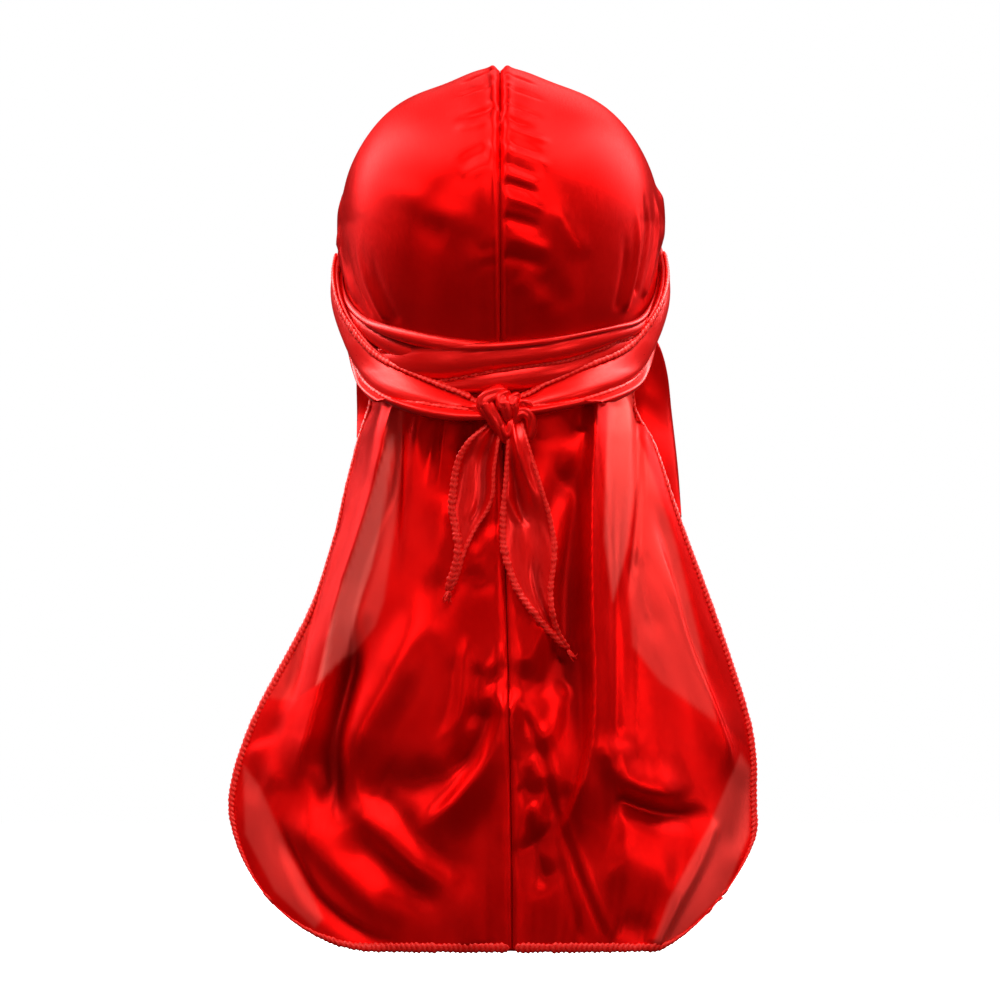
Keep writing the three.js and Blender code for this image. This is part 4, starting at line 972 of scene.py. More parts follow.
def inside_outline(points, outline):
    """How far inside an outline each point is, seen from behind. Outside is negative."""
    spot, corners = points[..., [0, 2]], np.array(outline, float)
    nearest, crossings = np.full(spot.shape[:-1], np.inf), np.zeros(spot.shape[:-1], int)
    for a, b in zip(corners, np.roll(corners, -1, axis=0)):
        t = np.clip(((spot - a) @ (b - a)) / ((b - a) @ (b - a)), 0, 1)
        nearest = np.minimum(nearest, np.linalg.norm(spot - a - t[..., None] * (b - a), axis=-1))
        spans = (a[1] > spot[..., 1]) != (b[1] > spot[..., 1])
        x = a[0] + (spot[..., 1] - a[1]) * (b[0] - a[0]) / (b[1] - a[1] if b[1] != a[1] else 1)
        crossings += spans & (spot[..., 0] < x)
    return np.where(crossings % 2 == 1, nearest, -nearest)


def share_inside(points, places):
    """How strongly each point belongs to a list of outlined places."""
    share = np.zeros(points.shape[:-1])
    for place in places:
        inside = smooth(inside_outline(points, place.outline), -PATCH_EDGE, PATCH_EDGE)
        share = np.maximum(share, place.strength * inside)
    return np.where(points[..., 1] < 0, share, 0) * smooth(-tie_line(points), *BELOW_TIES)


print("sheer places:", len(SHEER), "and double ones:", len(SHADED_DOUBLE))

# %% [markdown]
# Now the two panels are made. Each is one cut piece of cloth: first its surface with all folds, then the
# strip that is turned in along the seam, then the wall. They stay two objects, because they are two
# pieces of cloth, and each replaces its own plain solid of the frame.

# %% Both panels
PANEL_NAMES = {-1: "panel_left", 1: "panel_right"}
surfaces, panels = {}, {}
for side, name in PANEL_NAMES.items():
    surface, hollow = panel_surface(side)
    outer, inner = add_seam_allowance(surface, side)
    hollow = np.pad(hollow, ((0, 0), (outer.shape[1] - surface.shape[1], 0)), mode="edge")
    # Painted shade on the double layers
    hollow = np.maximum(hollow, share_inside(outer, SHADED_DOUBLE))
    piece = wall(name + "_cloth", outer, inner, side, panel_satin,
                 {"sheer": share_inside(outer, SHEER), "hollow": hollow})
    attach(piece, "root")
    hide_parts(name)
    surfaces[side], panels[side] = surface, piece
    print(name, "cloth:", round(area_of(surface) / 100), "square cm,", len(piece.data.polygons), "quads")

# %% [markdown]
# An overlocked edge looks like a flat cord: the machine rolls the cloth's raw edge and wraps it with
# thread, and the loops lock into a braid. A bump would vanish on the outline, where the cords show most,
# so the braid is real geometry: a flattened tube whose links stand out as chevrons. The same function
# makes the hems, the ties' edges and the stitched lines.

# %% Overlocked cords
RINGS_PER_LINK = 5
CHEVRON_SLANT = 1.9
LINK_RELIEF, UNEVEN_RELIEF = 0.13, 0.09


def cord_shape(centres, across, out, widths, thickness, pitch, around=12):
    """A flattened cord along a line of centres, with the braid's links standing out as chevrons."""
    steps = np.concatenate([[0], np.cumsum(np.linalg.norm(np.diff(centres, axis=0), axis=1))])
    count = int(steps[-1] / (pitch / RINGS_PER_LINK)) + 2
    at = np.linspace(0, steps[-1], count)
    centre, across, out = [np.stack([np.interp(at, steps, column) for column in rows.T], axis=-1)
                           for rows in (centres, across, out)]
    across, out = unit(across), unit(out)
    angle = np.linspace(0, 2 * math.pi, around, endpoint=False)[None]
    uneven = waves(np.stack([at, 0 * at], axis=-1), 9, 21)[:, None]
    link = np.cos(2 * math.pi * at[:, None] / pitch + CHEVRON_SLANT * np.abs(np.cos(angle)) + 0.6 * uneven)
    rib = (1 + LINK_RELIEF * link) * (1 + UNEVEN_RELIEF * uneven)
    width = blend(*widths, at / at[-1])[:, None]
    thickness = thickness * width / max(widths)
    ends = np.sqrt(np.clip(np.minimum(at, at[-1] - at)[:, None] / thickness, 0.02, 1))
    sweep = (across[:, None] * (0.5 * width * rib * ends * np.cos(angle))[..., None]
             + out[:, None] * (0.5 * thickness * rib * ends * np.sin(angle))[..., None])
    points = centre[:, None] + sweep
    faces = grid_faces(count, around, closed=True)
    caps = [np.arange(around)[::-1].tolist(), (np.arange(around) + (count - 1) * around).tolist()]
    cloth = np.stack([np.broadcast_to(angle, rib.shape), np.broadcast_to(at[:, None], rib.shape)], axis=-1)
    # Where the links' crests are: the thread's colour paints a highlight there and shade between them
    crest = 0.5 + 0.5 * link * np.ones_like(rib)
    return points.reshape(-1, 3), faces.tolist() + caps, cloth.reshape(-1, 2), crest.ravel()


def overlock(name, *shape):
    """One cord of thread as an object."""
    return join_meshes(name, [cord_shape(*shape)], thread, "crest")


print("a cord has", RINGS_PER_LINK, "rings of points for each link of its braid")

# %% [markdown]
# Each panel's hem runs from the forehead's seam round the whole edge to the foot's seam, in one go, as
# the machine sews it. The edge's small jumps are averaged out first, or the cord would kink.

# %% The hems
HEM_WIDTH, HEM_THICKNESS, HEM_PITCH = 4.6, 1.9, 2.6
HEM_INSET = 0.35  # how far in from the edge the cord's middle lies, as a share of its width
HEM_SMOOTHING = 4


def border(grid):
    """A panel's edge, from the forehead's seam round to the foot's seam, and the points a bit inside it."""
    line = np.concatenate([grid[0, :-1], grid[:-1, -1], grid[-1, ::-1]])
    inside = np.concatenate([grid[4, :-1], grid[:-1, -5], grid[-5, ::-1]])
    return line, inside


hems = {}
for side, surface in surfaces.items():
    line, inside = border(surface)
    normals = grid_normals(surface, side)
    out, _ = border(normals)
    line, inwards, out = [soften(rows, HEM_SMOOTHING, mode="edge")
                          for rows in (line, unit(inside - line), out)]
    centres = line + inwards * HEM_INSET * HEM_WIDTH
    name = "hem_left" if side < 0 else "hem_right"
    hems[side] = overlock(name, centres, inwards, out, (HEM_WIDTH, HEM_WIDTH), HEM_THICKNESS, HEM_PITCH)
    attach(hems[side], "root")
    print(name, "cord:", round(np.linalg.norm(np.diff(centres, axis=0), axis=1).sum()), "mm")

# %% [markdown]
# Beside the neck the panel has more cloth than the head needs. It hangs from under the ties as a tongue
# that is folded back on itself behind the hem, larger on the right. The panel's grid can't fold back on
# itself without stretching, so each tongue is a small sheet of its own, tucked behind the hem. Its
# level sections are a U: in from the hem, out to the turn of the fold, and back.

# %% The folds beside the neck
# out is how far from the middle the fold's turn hangs, and depth how far the U goes forward
TONGUES = {
    1: table("drop out depth", (132, 76, 14), (142, 81, 20), (154, 84, 24), (172, 86, 26), (190, 88, 24),
             (206, 89.5, 18), (216, 90, 10), (226, 90.5, 1)),
    -1: table("drop out depth", (132, 68, 12), (142, 70.5, 14), (154, 71.5, 18), (166, 71.5, 18),
              (178, 71.5, 11), (186, 71.5, 1)),
}
TONGUE_ROWS, TONGUE_COLUMNS, TONGUE_TUCK = 70, 46, 8
TONGUE_SMOOTHING, TONGUE_FORWARD = 9, 1.5
U_START, U_END = -0.15, 1.0  # half turns of the U: a bit of straight cloth, then round to its other end
TONGUE_PLEATS = 1.2, 9  # height and wavelength


def tongue_grid(side):
    """The outer face of one folded tongue of cloth."""
    rows = TONGUES[side]
    drop = np.linspace(rows["drop"][0], rows["drop"][-1], TONGUE_ROWS + 1)[:, None]
    hem = skin(side, hem_turn(-drop[:, 0]), -drop[:, 0])
    hem = soften(hem, TONGUE_SMOOTHING, mode="reflect", reflect_type="odd")
    start = np.abs(hem[:, :1]) - TONGUE_TUCK
    reach = np.maximum(read(rows, drop, "out") - start, 1)
    share = np.linspace(0, 1, TONGUE_COLUMNS + 1)[None]
    angle = blend(U_START, U_END, share) * math.pi
    out = start + reach * np.maximum(np.sin(angle), 0) ** 0.9 + TONGUE_TUCK * np.minimum(angle, 0)
    bend = (1 - np.cos(np.maximum(angle, 0))) / 2
    forward = hem[:, 1:2] + TONGUE_FORWARD + read(rows, drop, "depth") * bend
    pleat_place = np.stack(np.broadcast_arrays(share * 30, 0.2 * drop), axis=-1)
    pleats = TONGUE_PLEATS[0] * waves(pleat_place, TONGUE_PLEATS[1], 71 + side)
    pleats = pleats * smooth(rows["drop"][-1] - drop, 0, 30) * (1 - 0.8 * np.maximum(np.sin(angle), 0))
    return np.stack(np.broadcast_arrays(side * (out + pleats), forward + pleats, -drop), axis=-1)


tongues = {}
for side, name in PANEL_NAMES.items():
    outer = tongue_grid(side)
    normals = grid_normals(outer, -side)
    tongues[side] = wall(name + "_side_fold", outer, outer - normals * SATIN_THICKNESS, side, panel_satin)
    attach(tongues[side], "root")
    print(name, "side fold:", round(area_of(outer) / 100), "square cm")

# %% [markdown]
# A tie is a strip of the same satin, twice as wide as it looks, that folds onto itself as it is pulled
# round the head. It starts at its own temple, passes the nape, crosses the other tie at the forehead and
# comes back to the knot. Its way is a table by the turn round the head: how far it rises above the
# slanting line of the ties, how wide it is, and in which layer it lies, so that crossings go over and
# under. rise and width are shares of the tie's width.

# %% The ties' way round the head
TIE_TRACK = table(
    "turn rise_left rise_right width layer_left layer_right",
    (-97, -0.5, -0.5, 0.6, 1, 1), (-80, -0.5, -0.5, 0.6, 1, 1), (-64, -0.48, -0.48, 0.62, 2, 1),
    (-48, -0.3, -0.25, 0.8, 2, 1), (-30, -0.05, 0.04, 1.0, 2, 1), (0, 0.2, 0.16, 1.08, 2, 1),
    (30, 0.24, 0.2, 1.0, 2, 1), (48, 0.22, 0.2, 0.82, 2, 1), (64, 0.12, 0.12, 0.66, 2, 1),
    (80, 0.12, 0.12, 0.62, 1, 1), (98, 0.14, 0.14, 0.62, 1, 1), (120, -0.36, -0.36, 0.64, 1, 1),
    (134, -0.36, -0.36, 0.64, 1, 2), (150, -0.2, -0.2, 0.8, 1, 2), (180, 0.0, 0.0, 0.9, 1, 2),
    (210, 0.38, 0.38, 0.75, 1, 2), (226, 0.42, 0.42, 0.7, 1, 2), (240, 0.42, 0.5, 0.72, 2, 2),
    (254, 0.25, 0.3, 0.95, 2, 2), (270, 0.0, 0.04, 1.2, 2.3, 2.3), (286, -0.28, -0.12, 1.1, 2.8, 2.8),
    (302, -0.6, -0.45, 1.06, 3, 3), (324, -0.74, -0.52, 1.08, 3, 3), (342, -0.82, -0.64, 0.84, 3, 3),
    (350, -0.86, -0.74, 0.6, 3.3, 3.3), (358, -0.88, -0.8, 0.44, 3.6, 3.6),
)
# Where the creases lie across the band, from -0.5 at its lower edge to 0.5 at its upper one
TIE_CREASES = table(
    "turn low_left high_left low_right high_right",
    (-97, -0.2, 0.4, -0.2, 0.4), (-35, -0.22, 0.42, -0.24, 0.4), (0, -0.06, 0.4, -0.3, 0.2),
    (48, 0.06, 0.42, -0.3, 0.18), (64, 0.0, 0.42, -0.25, 0.3), (180, -0.2, 0.4, -0.2, 0.4),
    (240, -0.26, 0.42, -0.26, 0.42), (290, -0.26, 0.44, -0.24, 0.44), (330, -0.22, 0.42, -0.22, 0.42),
    (358, -0.1, 0.38, -0.1, 0.38),
)


def tie_station(side, turn):
    """The middle of a tie, its width and its layer, at turns along its way."""
    hand = "left" if side < 0 else "right"
    rise = TIE_WIDTH * read(TIE_TRACK, turn, "rise_" + hand)
    travel = np.radians(np.where(turn > 180, turn - 360, turn))
    on_side = np.where(travel < 0, side, -side)
    z = np.full(np.shape(turn), -float(TIE_SIDE_DROP))
    for _ in range(8):
        z = -TIE_SIDE_DROP + TIE_TILT * skin(on_side, np.abs(travel), z)[..., 1] + rise
    width, layer = TIE_WIDTH * read(TIE_TRACK, turn, "width"), read(TIE_TRACK, turn, "layer_" + hand)
    return on_side, np.abs(travel), z, width, layer


print("the ties go", round(TIE_TRACK["turn"][-1] - TIE_TRACK["turn"][0]), "degrees round the head")

# %% [markdown]
# What shows of a tie is a band of two or three rounded pleats with sharp creases between them. A flat
# ribbon with a bump would look ironed, so the section is shaped: a pillow between each two creases. The
# section is swept along the way, and the creases slide slowly across it, because hands never fold
# evenly.

# %% The ties' pleats
TIE_SEAT, TIE_LAYER, TIE_SPLAY = 0.65, 2.0, 0.5
TIE_STEPS, TIE_ACROSS = 540, 26
PLEAT_HEIGHT, PLEAT_ROUNDNESS = 0.98, 0.8
CREASE_DRIFT, CREASE_SHADE = 0.025, 0.75
OUTER_LIFT, INNER_DROP = 0.45, 0.2
# Height and wavelength of the small unevenness along the pleats
STREAKS = (0.03, 4), (0.2, 11)


def pleat_height(across, low, high, width):
    """Height of the folded strip over its seat: a rounded pleat between each two creases."""
    edges = [-0.5, low, high, 0.5]
    total = np.zeros(np.broadcast(across, low).shape)
    for start, end in zip(edges[:-1], edges[1:]):
        local = (2 * across - start - end) / (end - start)
        inside = np.abs(local) <= 1
        pillow = np.maximum(1 - local ** 2, 0) ** PLEAT_ROUNDNESS
        total = np.where(inside, PLEAT_HEIGHT * np.sqrt((end - start) * width) * pillow, total)
    return total


def tie_grid(side):
    """One tie: its turns, its outer and inner faces, where its creases are and how deep their shade is."""
    turn = np.linspace(TIE_TRACK["turn"][0], TIE_TRACK["turn"][-1], TIE_STEPS + 1)[:, None]
    on_side, angle, z, width, layer = tie_station(side, turn)
    across = np.linspace(-0.5, 0.5, TIE_ACROSS + 1)[None]
    drift = CREASE_DRIFT * waves(np.concatenate([turn, 0 * turn], axis=1), 60, 31 + side)[:, None]
    hand = "left" if side < 0 else "right"
    low = read(TIE_CREASES, turn, "low_" + hand) + drift
    high = read(TIE_CREASES, turn, "high_" + hand) - 0.8 * drift
    local_z = z + across * width

    def face(height):
        at = skin(on_side, angle, local_z)
        return at + skin_normal(np.broadcast_to(on_side, local_z.shape), angle, local_z) * height[..., None]

    seat = CLOTH + TIE_SEAT + (layer - 1) * TIE_LAYER
    streak_place = np.stack(np.broadcast_arrays(across * width, turn * 0.06), axis=-1)
    (low_height, short_wave), (height, long_wave) = STREAKS
    streaks = (low_height * waves(streak_place, short_wave, 41 + side)
               + height * waves(streak_place, long_wave, 43 + side))
    pleats = pleat_height(across, low, high, width)
    tuck = 1 - smooth(np.abs(across), 0.4, 0.5)
    behind = smooth(np.cos(angle), 0.0, 0.8)
    splay = blend(0.06, TIE_SPLAY, smooth(turn, 255, 290)) * (0.5 - across) * width * behind
    outer = face(seat + OUTER_LIFT + splay + pleats + streaks * smooth(pleats, 0.2, 1.2) - (1 - tuck) * 0.5)
    inner = face(seat - INNER_DROP + 0.9 * splay - 0.9 * (1 - tuck) * (layer - 1) * 0.5)
    shade = CREASE_SHADE * (1 - smooth(pleats, 0.1, 1.5))
    return turn[:, 0], outer, inner, low[:, 0], shade


def column_at(grid, across):
    """The line along a grid at a place across it that may change from row to row."""
    rows = np.arange(len(grid))
    place = np.clip((across + 0.5) * (grid.shape[1] - 1), 0, grid.shape[1] - 1.001) + np.zeros(len(grid))
    lower = place.astype(int)
    share = (place - lower)[:, None]
    return grid[rows, lower] * (1 - share) + grid[rows, lower + 1] * share


print("a tie's grid:", TIE_STEPS + 1, "by", TIE_ACROSS + 1, "points")

# %% [markdown]
# Each tie gets its band, an overlocked cord on its upper edge and a finer one that shows in the lower
# crease, where the strip's other edge lies folded under. A cord is made only between the turns where it
# shows. The rest of it is inside the folded band.

# %% Both ties
TIE_NAMES = {-1: "tie_left", 1: "tie_right"}
Trim = namedtuple("Trim", "label start end width thickness")
EDGE_TRIM, CREASE_TRIM = Trim("edge", 258, 358, 3.4, 1.6), Trim("stitches", 262, 358, 2.4, 1.1)
TIE_TRIMS = {-1: [EDGE_TRIM, Trim("crossing_stitches", -58, 70, 1.8, 0.9), CREASE_TRIM],
             1: [EDGE_TRIM, CREASE_TRIM]}
TIE_CORD_PITCH = 2.8
EDGE_PLACE, BAND_MIDDLE = 0.46, TIE_ACROSS // 2
TRIM_LIFT = 0.6
tie_areas, ties, tie_cords = {}, {}, {}
for side, name in TIE_NAMES.items():
    turn, outer, inner, low, shade = tie_grid(side)
    ties[side] = wall(name + "_band", outer, inner, -1, tie_satin, {"hollow": shade})
    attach(ties[side], "root")
    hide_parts(name)
    normals = grid_normals(outer, 1)
    facing = unit(column_at(normals, 0.3))
    from_middle = outer[:, BAND_MIDDLE] - [0, 0, -TIE_SIDE_DROP]
    facing = facing * np.sign(np.sum(facing * from_middle, axis=1))[:, None]
    across = unit(column_at(outer, 0.48) - column_at(outer, 0.3))
    tie_cords[side] = []
    for trim in TIE_TRIMS[side]:
        shown = (turn >= trim.start) & (turn <= trim.end)
        line = column_at(outer, EDGE_PLACE if trim.label == "edge" else low) + TRIM_LIFT * facing
        cord = overlock(f"{name}_{trim.label}", line[shown], across[shown], facing[shown],
                        (trim.width, trim.width), trim.thickness, TIE_CORD_PITCH)
        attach(cord, "root")
        tie_cords[side].append(cord)
    tie_areas[side] = area_of(outer)
    steps = np.linalg.norm(np.diff(outer[:, BAND_MIDDLE], axis=0), axis=1)
    print(name, "band:", round(steps.sum()), "mm long")

# %% [markdown]
# The knot is a half knot in two strips that are bunched like rope. Satin bunched this way is fluted:
# several small folds run along each strand and turn slowly round it. A lump with a bump would look like
# clay. A bent tube with a fluted section gives the real thing, and each strand of the knot is one tube
# along its own short path. The paths are given as seen from behind, with the height over the cloth.

# %% The knot's strands
Strand = namedtuple("Strand", "name flutes twist path")
# Each point of a path: x, z, height over the cloth, radius
KNOT_STRANDS = [
    Strand("core_left", 4, 0.02, [(-17, -175, 5.5, 4.2), (-9, -175.5, 7, 4.8), (0, -175.5, 8, 5.0),
           (8, -175, 7, 4.2)]),
    Strand("core_right", 4, -0.02, [(20, -173.5, 6, 3.2), (12, -174, 7, 4.0), (4, -175, 8, 4.6)]),
    Strand("core_low", 4, 0.03, [(1, -170, 7, 5), (3, -178, 8, 5.2), (6, -186, 7, 4.2), (7, -192, 5, 3.4)]),
    Strand("wrap", 5, 0.05, [(4, -163, 7, 3.0), (-1.5, -163.5, 11, 3.9), (-6, -168, 13, 4.3),
           (-5.5, -173.5, 13.5, 4.2), (-2.8, -179, 13, 3.8), (0.5, -185, 11, 3.2), (3, -191, 8, 2.4)]),
    Strand("second", 4, 0.05, [(4.5, -162.5, 9, 2.6), (0.8, -165.5, 13, 3.1), (1, -170, 15, 3.2),
           (2.6, -175.5, 15, 3.0), (3.8, -182, 12.5, 2.3)]),
    Strand("third", 4, 0.05, [(9, -164.5, 8, 2.4), (5.4, -167, 12.5, 2.8), (5.4, -171.5, 14, 2.9),
           (6.2, -176.5, 13, 2.6), (6.2, -182, 10.5, 2.0)]),
    Strand("fourth", 4, 0.12, [(19, -174.5, 6, 2.2), (14, -171.5, 9.5, 2.6), (9.5, -169.5, 11.5, 2.6),
           (7.5, -173.5, 11.5, 2.0)]),
    Strand("inner_loop", 4, 0.1, [(0.5, -180, 11.5, 1.8), (1.5, -185, 12.5, 2.0), (3.5, -187.5, 12, 2.0),
           (4.5, -183, 12.5, 1.9), (4, -179, 11, 1.6)]),
    Strand("right_loop", 4, 0.08, [(5, -184, 9, 2.2), (6.8, -179, 11.5, 2.7), (10.2, -177, 12, 2.9),
           (13.2, -179.8, 11, 2.9), (14, -184.6, 9, 2.7), (12.5, -190, 6.5, 2.4)]),
]
print("strands:", ", ".join(strand.name for strand in KNOT_STRANDS))

# %% [markdown]
# Each strand becomes a closed tube: rings of points along its path, pinched in where its small folds meet
# and tapering to a point where it dives under another one. All strands together are one piece, because
# they are one knot.

# %% Fluted tubes
STRAND_AROUND, STRAND_STEPS = 28, 10
STRAND_FULLNESS, STRAND_FLATNESS = 1.12, 0.85
MAIN_FLUTE, FINE_FLUTE, FLUTE_SHADE = 0.22, 0.08, 0.2


def strand_mesh(strand, seed):
    """One fluted, tapering tube: its points, faces, cloth map and the shade painted in its flutes."""
    count = STRAND_STEPS * len(strand.path)
    path = smooth_path(strand.path, count)
    centre = on_cloth(path[:, 0], path[:, 1], path[:, 2])
    radius = path[:, 3:4] * STRAND_FULLNESS
    run = unit(np.gradient(centre, axis=0))
    sideways = unit(np.cross(run, [0.03, -1.0, 0.02]))
    out = unit(np.cross(sideways, run))
    walked = np.concatenate([[0], np.cumsum(np.linalg.norm(np.diff(centre, axis=0), axis=1))])[:, None]
    angle = np.linspace(0, 2 * math.pi, STRAND_AROUND, endpoint=False)[None]
    turned = strand.flutes * angle + strand.twist * strand.flutes * walked + seed
    flute = (1 - MAIN_FLUTE * np.abs(np.cos(turned / 2)) ** 3
             - FINE_FLUTE * np.abs(np.cos(turned * 0.93 + 1.3)) ** 3)
    ends = np.sqrt(np.clip(np.minimum(walked, walked[-1] - walked) / radius, 0.03, 1))
    reach = radius * flute * ends
    points = (centre[:, None] + sideways[:, None] * (reach * np.cos(angle))[..., None]
              + out[:, None] * (STRAND_FLATNESS * reach * np.sin(angle))[..., None])
    faces = grid_faces(count, STRAND_AROUND, closed=True).tolist()
    faces += [np.arange(STRAND_AROUND)[::-1].tolist(),
              (np.arange(STRAND_AROUND) + (count - 1) * STRAND_AROUND).tolist()]
    cloth = np.stack(np.broadcast_arrays(angle * radius, walked), axis=-1)
    # Shade painted in the flutes, as a deeper red
    hollow = FLUTE_SHADE * np.clip((1 - flute) / 0.28, 0, 1)
    return points.reshape(-1, 3), faces, cloth.reshape(-1, 2), hollow.ravel()


strands = [strand_mesh(strand, seed) for seed, strand in enumerate(KNOT_STRANDS)]
knot = join_meshes("knot_strands", strands, tie_satin, "hollow")
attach(knot, "root")
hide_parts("knot")
print("knot:", len(KNOT_STRANDS), "strands")

# %% [markdown]
# The ties' loose ends hang from the knot over the tail. Each is a strip that is folded lengthwise, so it
# is hollow along its middle and its two overlocked edges stand up like cords. Its outline is a table:
# how far each edge is from the knot's middle, as shares of the strip's greatest width. lift is how far
# it stands off the tail, and the last column how far its middle sinks. The sunk middle is also painted a
# deeper red, as shade. A few creases run slantwise over it, and they change that painted shade too.

# %% The loose ends' outlines
Loose = namedtuple("Loose", "node length outline creases left_cord right_cord")
# A crease: its share across and along at its start and at its end, its half-width and its rise
Crease = namedtuple("Crease", "across_from along_from across_to along_to width rise")
LOOSE_ENDS = [
    Loose("tie_end_left", 84, table(
        "along left right lift hollow",
        (0.0, -0.3, -0.05, 0.62, 0.1), (0.1, -0.66, -0.12, 0.9, 0.5), (0.2, -0.86, -0.17, 0.85, 0.9),
        (0.3, -0.95, -0.21, 0.75, 1.0), (0.42, -1.0, -0.22, 0.62, 0.9), (0.52, -1.02, -0.32, 0.5, 0.7),
        (0.63, -0.95, -0.54, 0.42, 0.5), (0.76, -0.9, -0.74, 0.35, 0.3), (0.9, -1.0, -0.86, 0.28, 0.1),
        (1.0, -1.1, -1.0, 0.22, 0.0)), [
        Crease(0.42, 0.04, 0.5, 0.5, 0.17, 2.0), Crease(0.78, 0.08, 0.76, 0.5, 0.14, -1.2)],
        (3.0, 4.4), (1.6, 2.4)),
    Loose("tie_end_right", 113, table(
        "along left right lift hollow",
        (0.0, 0.06, 0.3, 0.7, -0.2), (0.08, 0.02, 0.4, 0.95, -0.4), (0.16, 0.0, 0.5, 0.92, -0.3),
        (0.28, -0.03, 0.65, 0.82, 0.3), (0.38, -0.07, 0.78, 0.72, 0.8), (0.45, -0.08, 0.85, 0.62, 0.9),
        (0.54, -0.07, 0.91, 0.52, 0.8), (0.62, 0.0, 0.9, 0.45, 0.6), (0.75, 0.22, 0.84, 0.35, 0.5),
        (0.87, 0.59, 0.9, 0.3, 0.3), (0.95, 0.9, 1.03, 0.25, 0.1), (1.0, 1.1, 1.18, 0.2, 0.0)), [
        Crease(0.3, 0.02, 0.72, 0.3, 0.15, 3.2), Crease(0.24, 0.2, 0.42, 0.42, 0.13, -2.4),
        Crease(0.12, 0.34, 0.42, 0.46, 0.1, 2.0), Crease(0.5, 0.46, 0.44, 0.7, 0.16, 1.4),
        Crease(0.55, 0.68, 0.62, 0.86, 0.16, -1.6)],
        (1.8, 5.2), (1.8, 3.4)),
]
print("loose ends:", [loose.length for loose in LOOSE_ENDS], "mm long")

# %% [markdown]
# A loose end lies on the tail. So its surface starts from the cloth behind it, smoothed, because a strip
# bridges small folds and doesn't follow them. Then it stands off by its lift, sinks along its middle and
# takes its creases.

# %% The loose ends' surface
KNOT_X, KNOT_Z, END_WIDTH, END_LIFT = 3, -178.6, 27, 11
END_STEPS, END_ACROSS, END_SMOOTHING = 110, 20, 12
END_CLEARANCE, SINKING = 1.6, 0.75
END_WAVES = 0.25, 14  # height and wavelength


def tail_depth(x, z):
    """Where the tail's outer face lies, from front to back, behind each x and z."""
    cloth = np.concatenate([surface[CROWN_ROWS:].reshape(-1, 3) for surface in surfaces.values()])
    spots = np.stack([x, z], axis=-1).reshape(-1, 2)
    seen = cloth[:, [0, 2]]
    near = np.all((seen > spots.min(0) - 8) & (seen < spots.max(0) + 8), axis=1)
    seen, y = seen[near], cloth[near, 1]
    nearest = [np.argmin((seen[:, 0] - spot[0]) ** 2 + (seen[:, 1] - spot[1]) ** 2) for spot in spots]
    return y[nearest].reshape(x.shape)


def loose_end_grid(loose):
    """The outer face of a loose end, and the shade painted where it sinks and along its creases."""
    along = np.linspace(0, 1, END_STEPS + 1)[:, None]
    share = np.linspace(0, 1, END_ACROSS + 1)[None]
    left = KNOT_X + END_WIDTH * read(loose.outline, along, "left")
    right = KNOT_X + END_WIDTH * read(loose.outline, along, "right")
    x = blend(left, right, share)
    z = KNOT_Z - along * loose.length + 0 * x
    depth = tail_depth(x, z).min(axis=1, keepdims=True)
    depth = soften(depth, END_SMOOTHING, mode="edge")
    lift = END_LIFT * read(loose.outline, along, "lift")
    hollow = read(loose.outline, along, "hollow")
    bowl = 4 * share * (1 - share)
    wave = END_WAVES[0] * waves(np.stack([x, 0.5 * z], axis=-1), END_WAVES[1], 61) * bowl
    out = END_CLEARANCE + lift * (1 - SINKING * hollow * bowl) + wave
    # Painted shade: a deeper red where the middle sinks
    strip_shade = 0.5 * np.maximum(hollow, 0) * bowl ** 2
    for crease in loose.creases:
        t = np.clip((along - crease.along_from) / (crease.along_to - crease.along_from), 0, 1)
        q = (share - blend(crease.across_from, crease.across_to, t)) / crease.width
        beyond = (along - blend(crease.along_from, crease.along_to, t)) * 12
        rise = crease.rise * np.exp(-1.4 * q * q - beyond * beyond)
        # A raised crease takes painted shade away, a sunk one adds it
        out, strip_shade = out + rise, strip_shade - 0.3 * rise
    return np.stack([x, depth - out, z], axis=-1), np.clip(strip_shade, 0, 0.6)


print("a loose end's grid:", END_STEPS + 1, "by", END_ACROSS + 1, "points")

# %% [markdown]
# The strip is cut across at its end, and there the overlock's threads are cut too. They spring open into
# a few short curls. Each curl is a thin cord of its own, and seeded dice choose how it bends, so that it
# is the same each run.

# %% The loose ends, with cords and frayed tips
FRAYED_THREADS, FRAYED_LENGTH = 7, 4.5
END_CORD_INSET = 0.6


def frayed_tip(name, tip, run, size):
    """A few cut threads that curl out of the end of a strip."""
    dice = np.random.default_rng(SEED + len(name))
    t = np.linspace(0, 1, 16)[:, None]
    parts = []
    for _ in range(FRAYED_THREADS):
        away, bend = unit(run + 0.5 * dice.normal(size=3)), unit(dice.normal(size=3))
        turn = dice.uniform(2, 5) * t
        line = tip + size * (0.8 * t * away + 0.35 * (np.sin(turn) * bend + (1 - np.cos(turn)) * run))
        across = unit(np.cross(np.gradient(line, axis=0), [0.1, 1.0, 0.05]))
        out = unit(np.cross(across, np.gradient(line, axis=0)))
        parts.append(cord_shape(line, across, out, (1.1, 0.5), 0.9, 1.3, 8))
    return join_meshes(name, parts, thread, "crest")


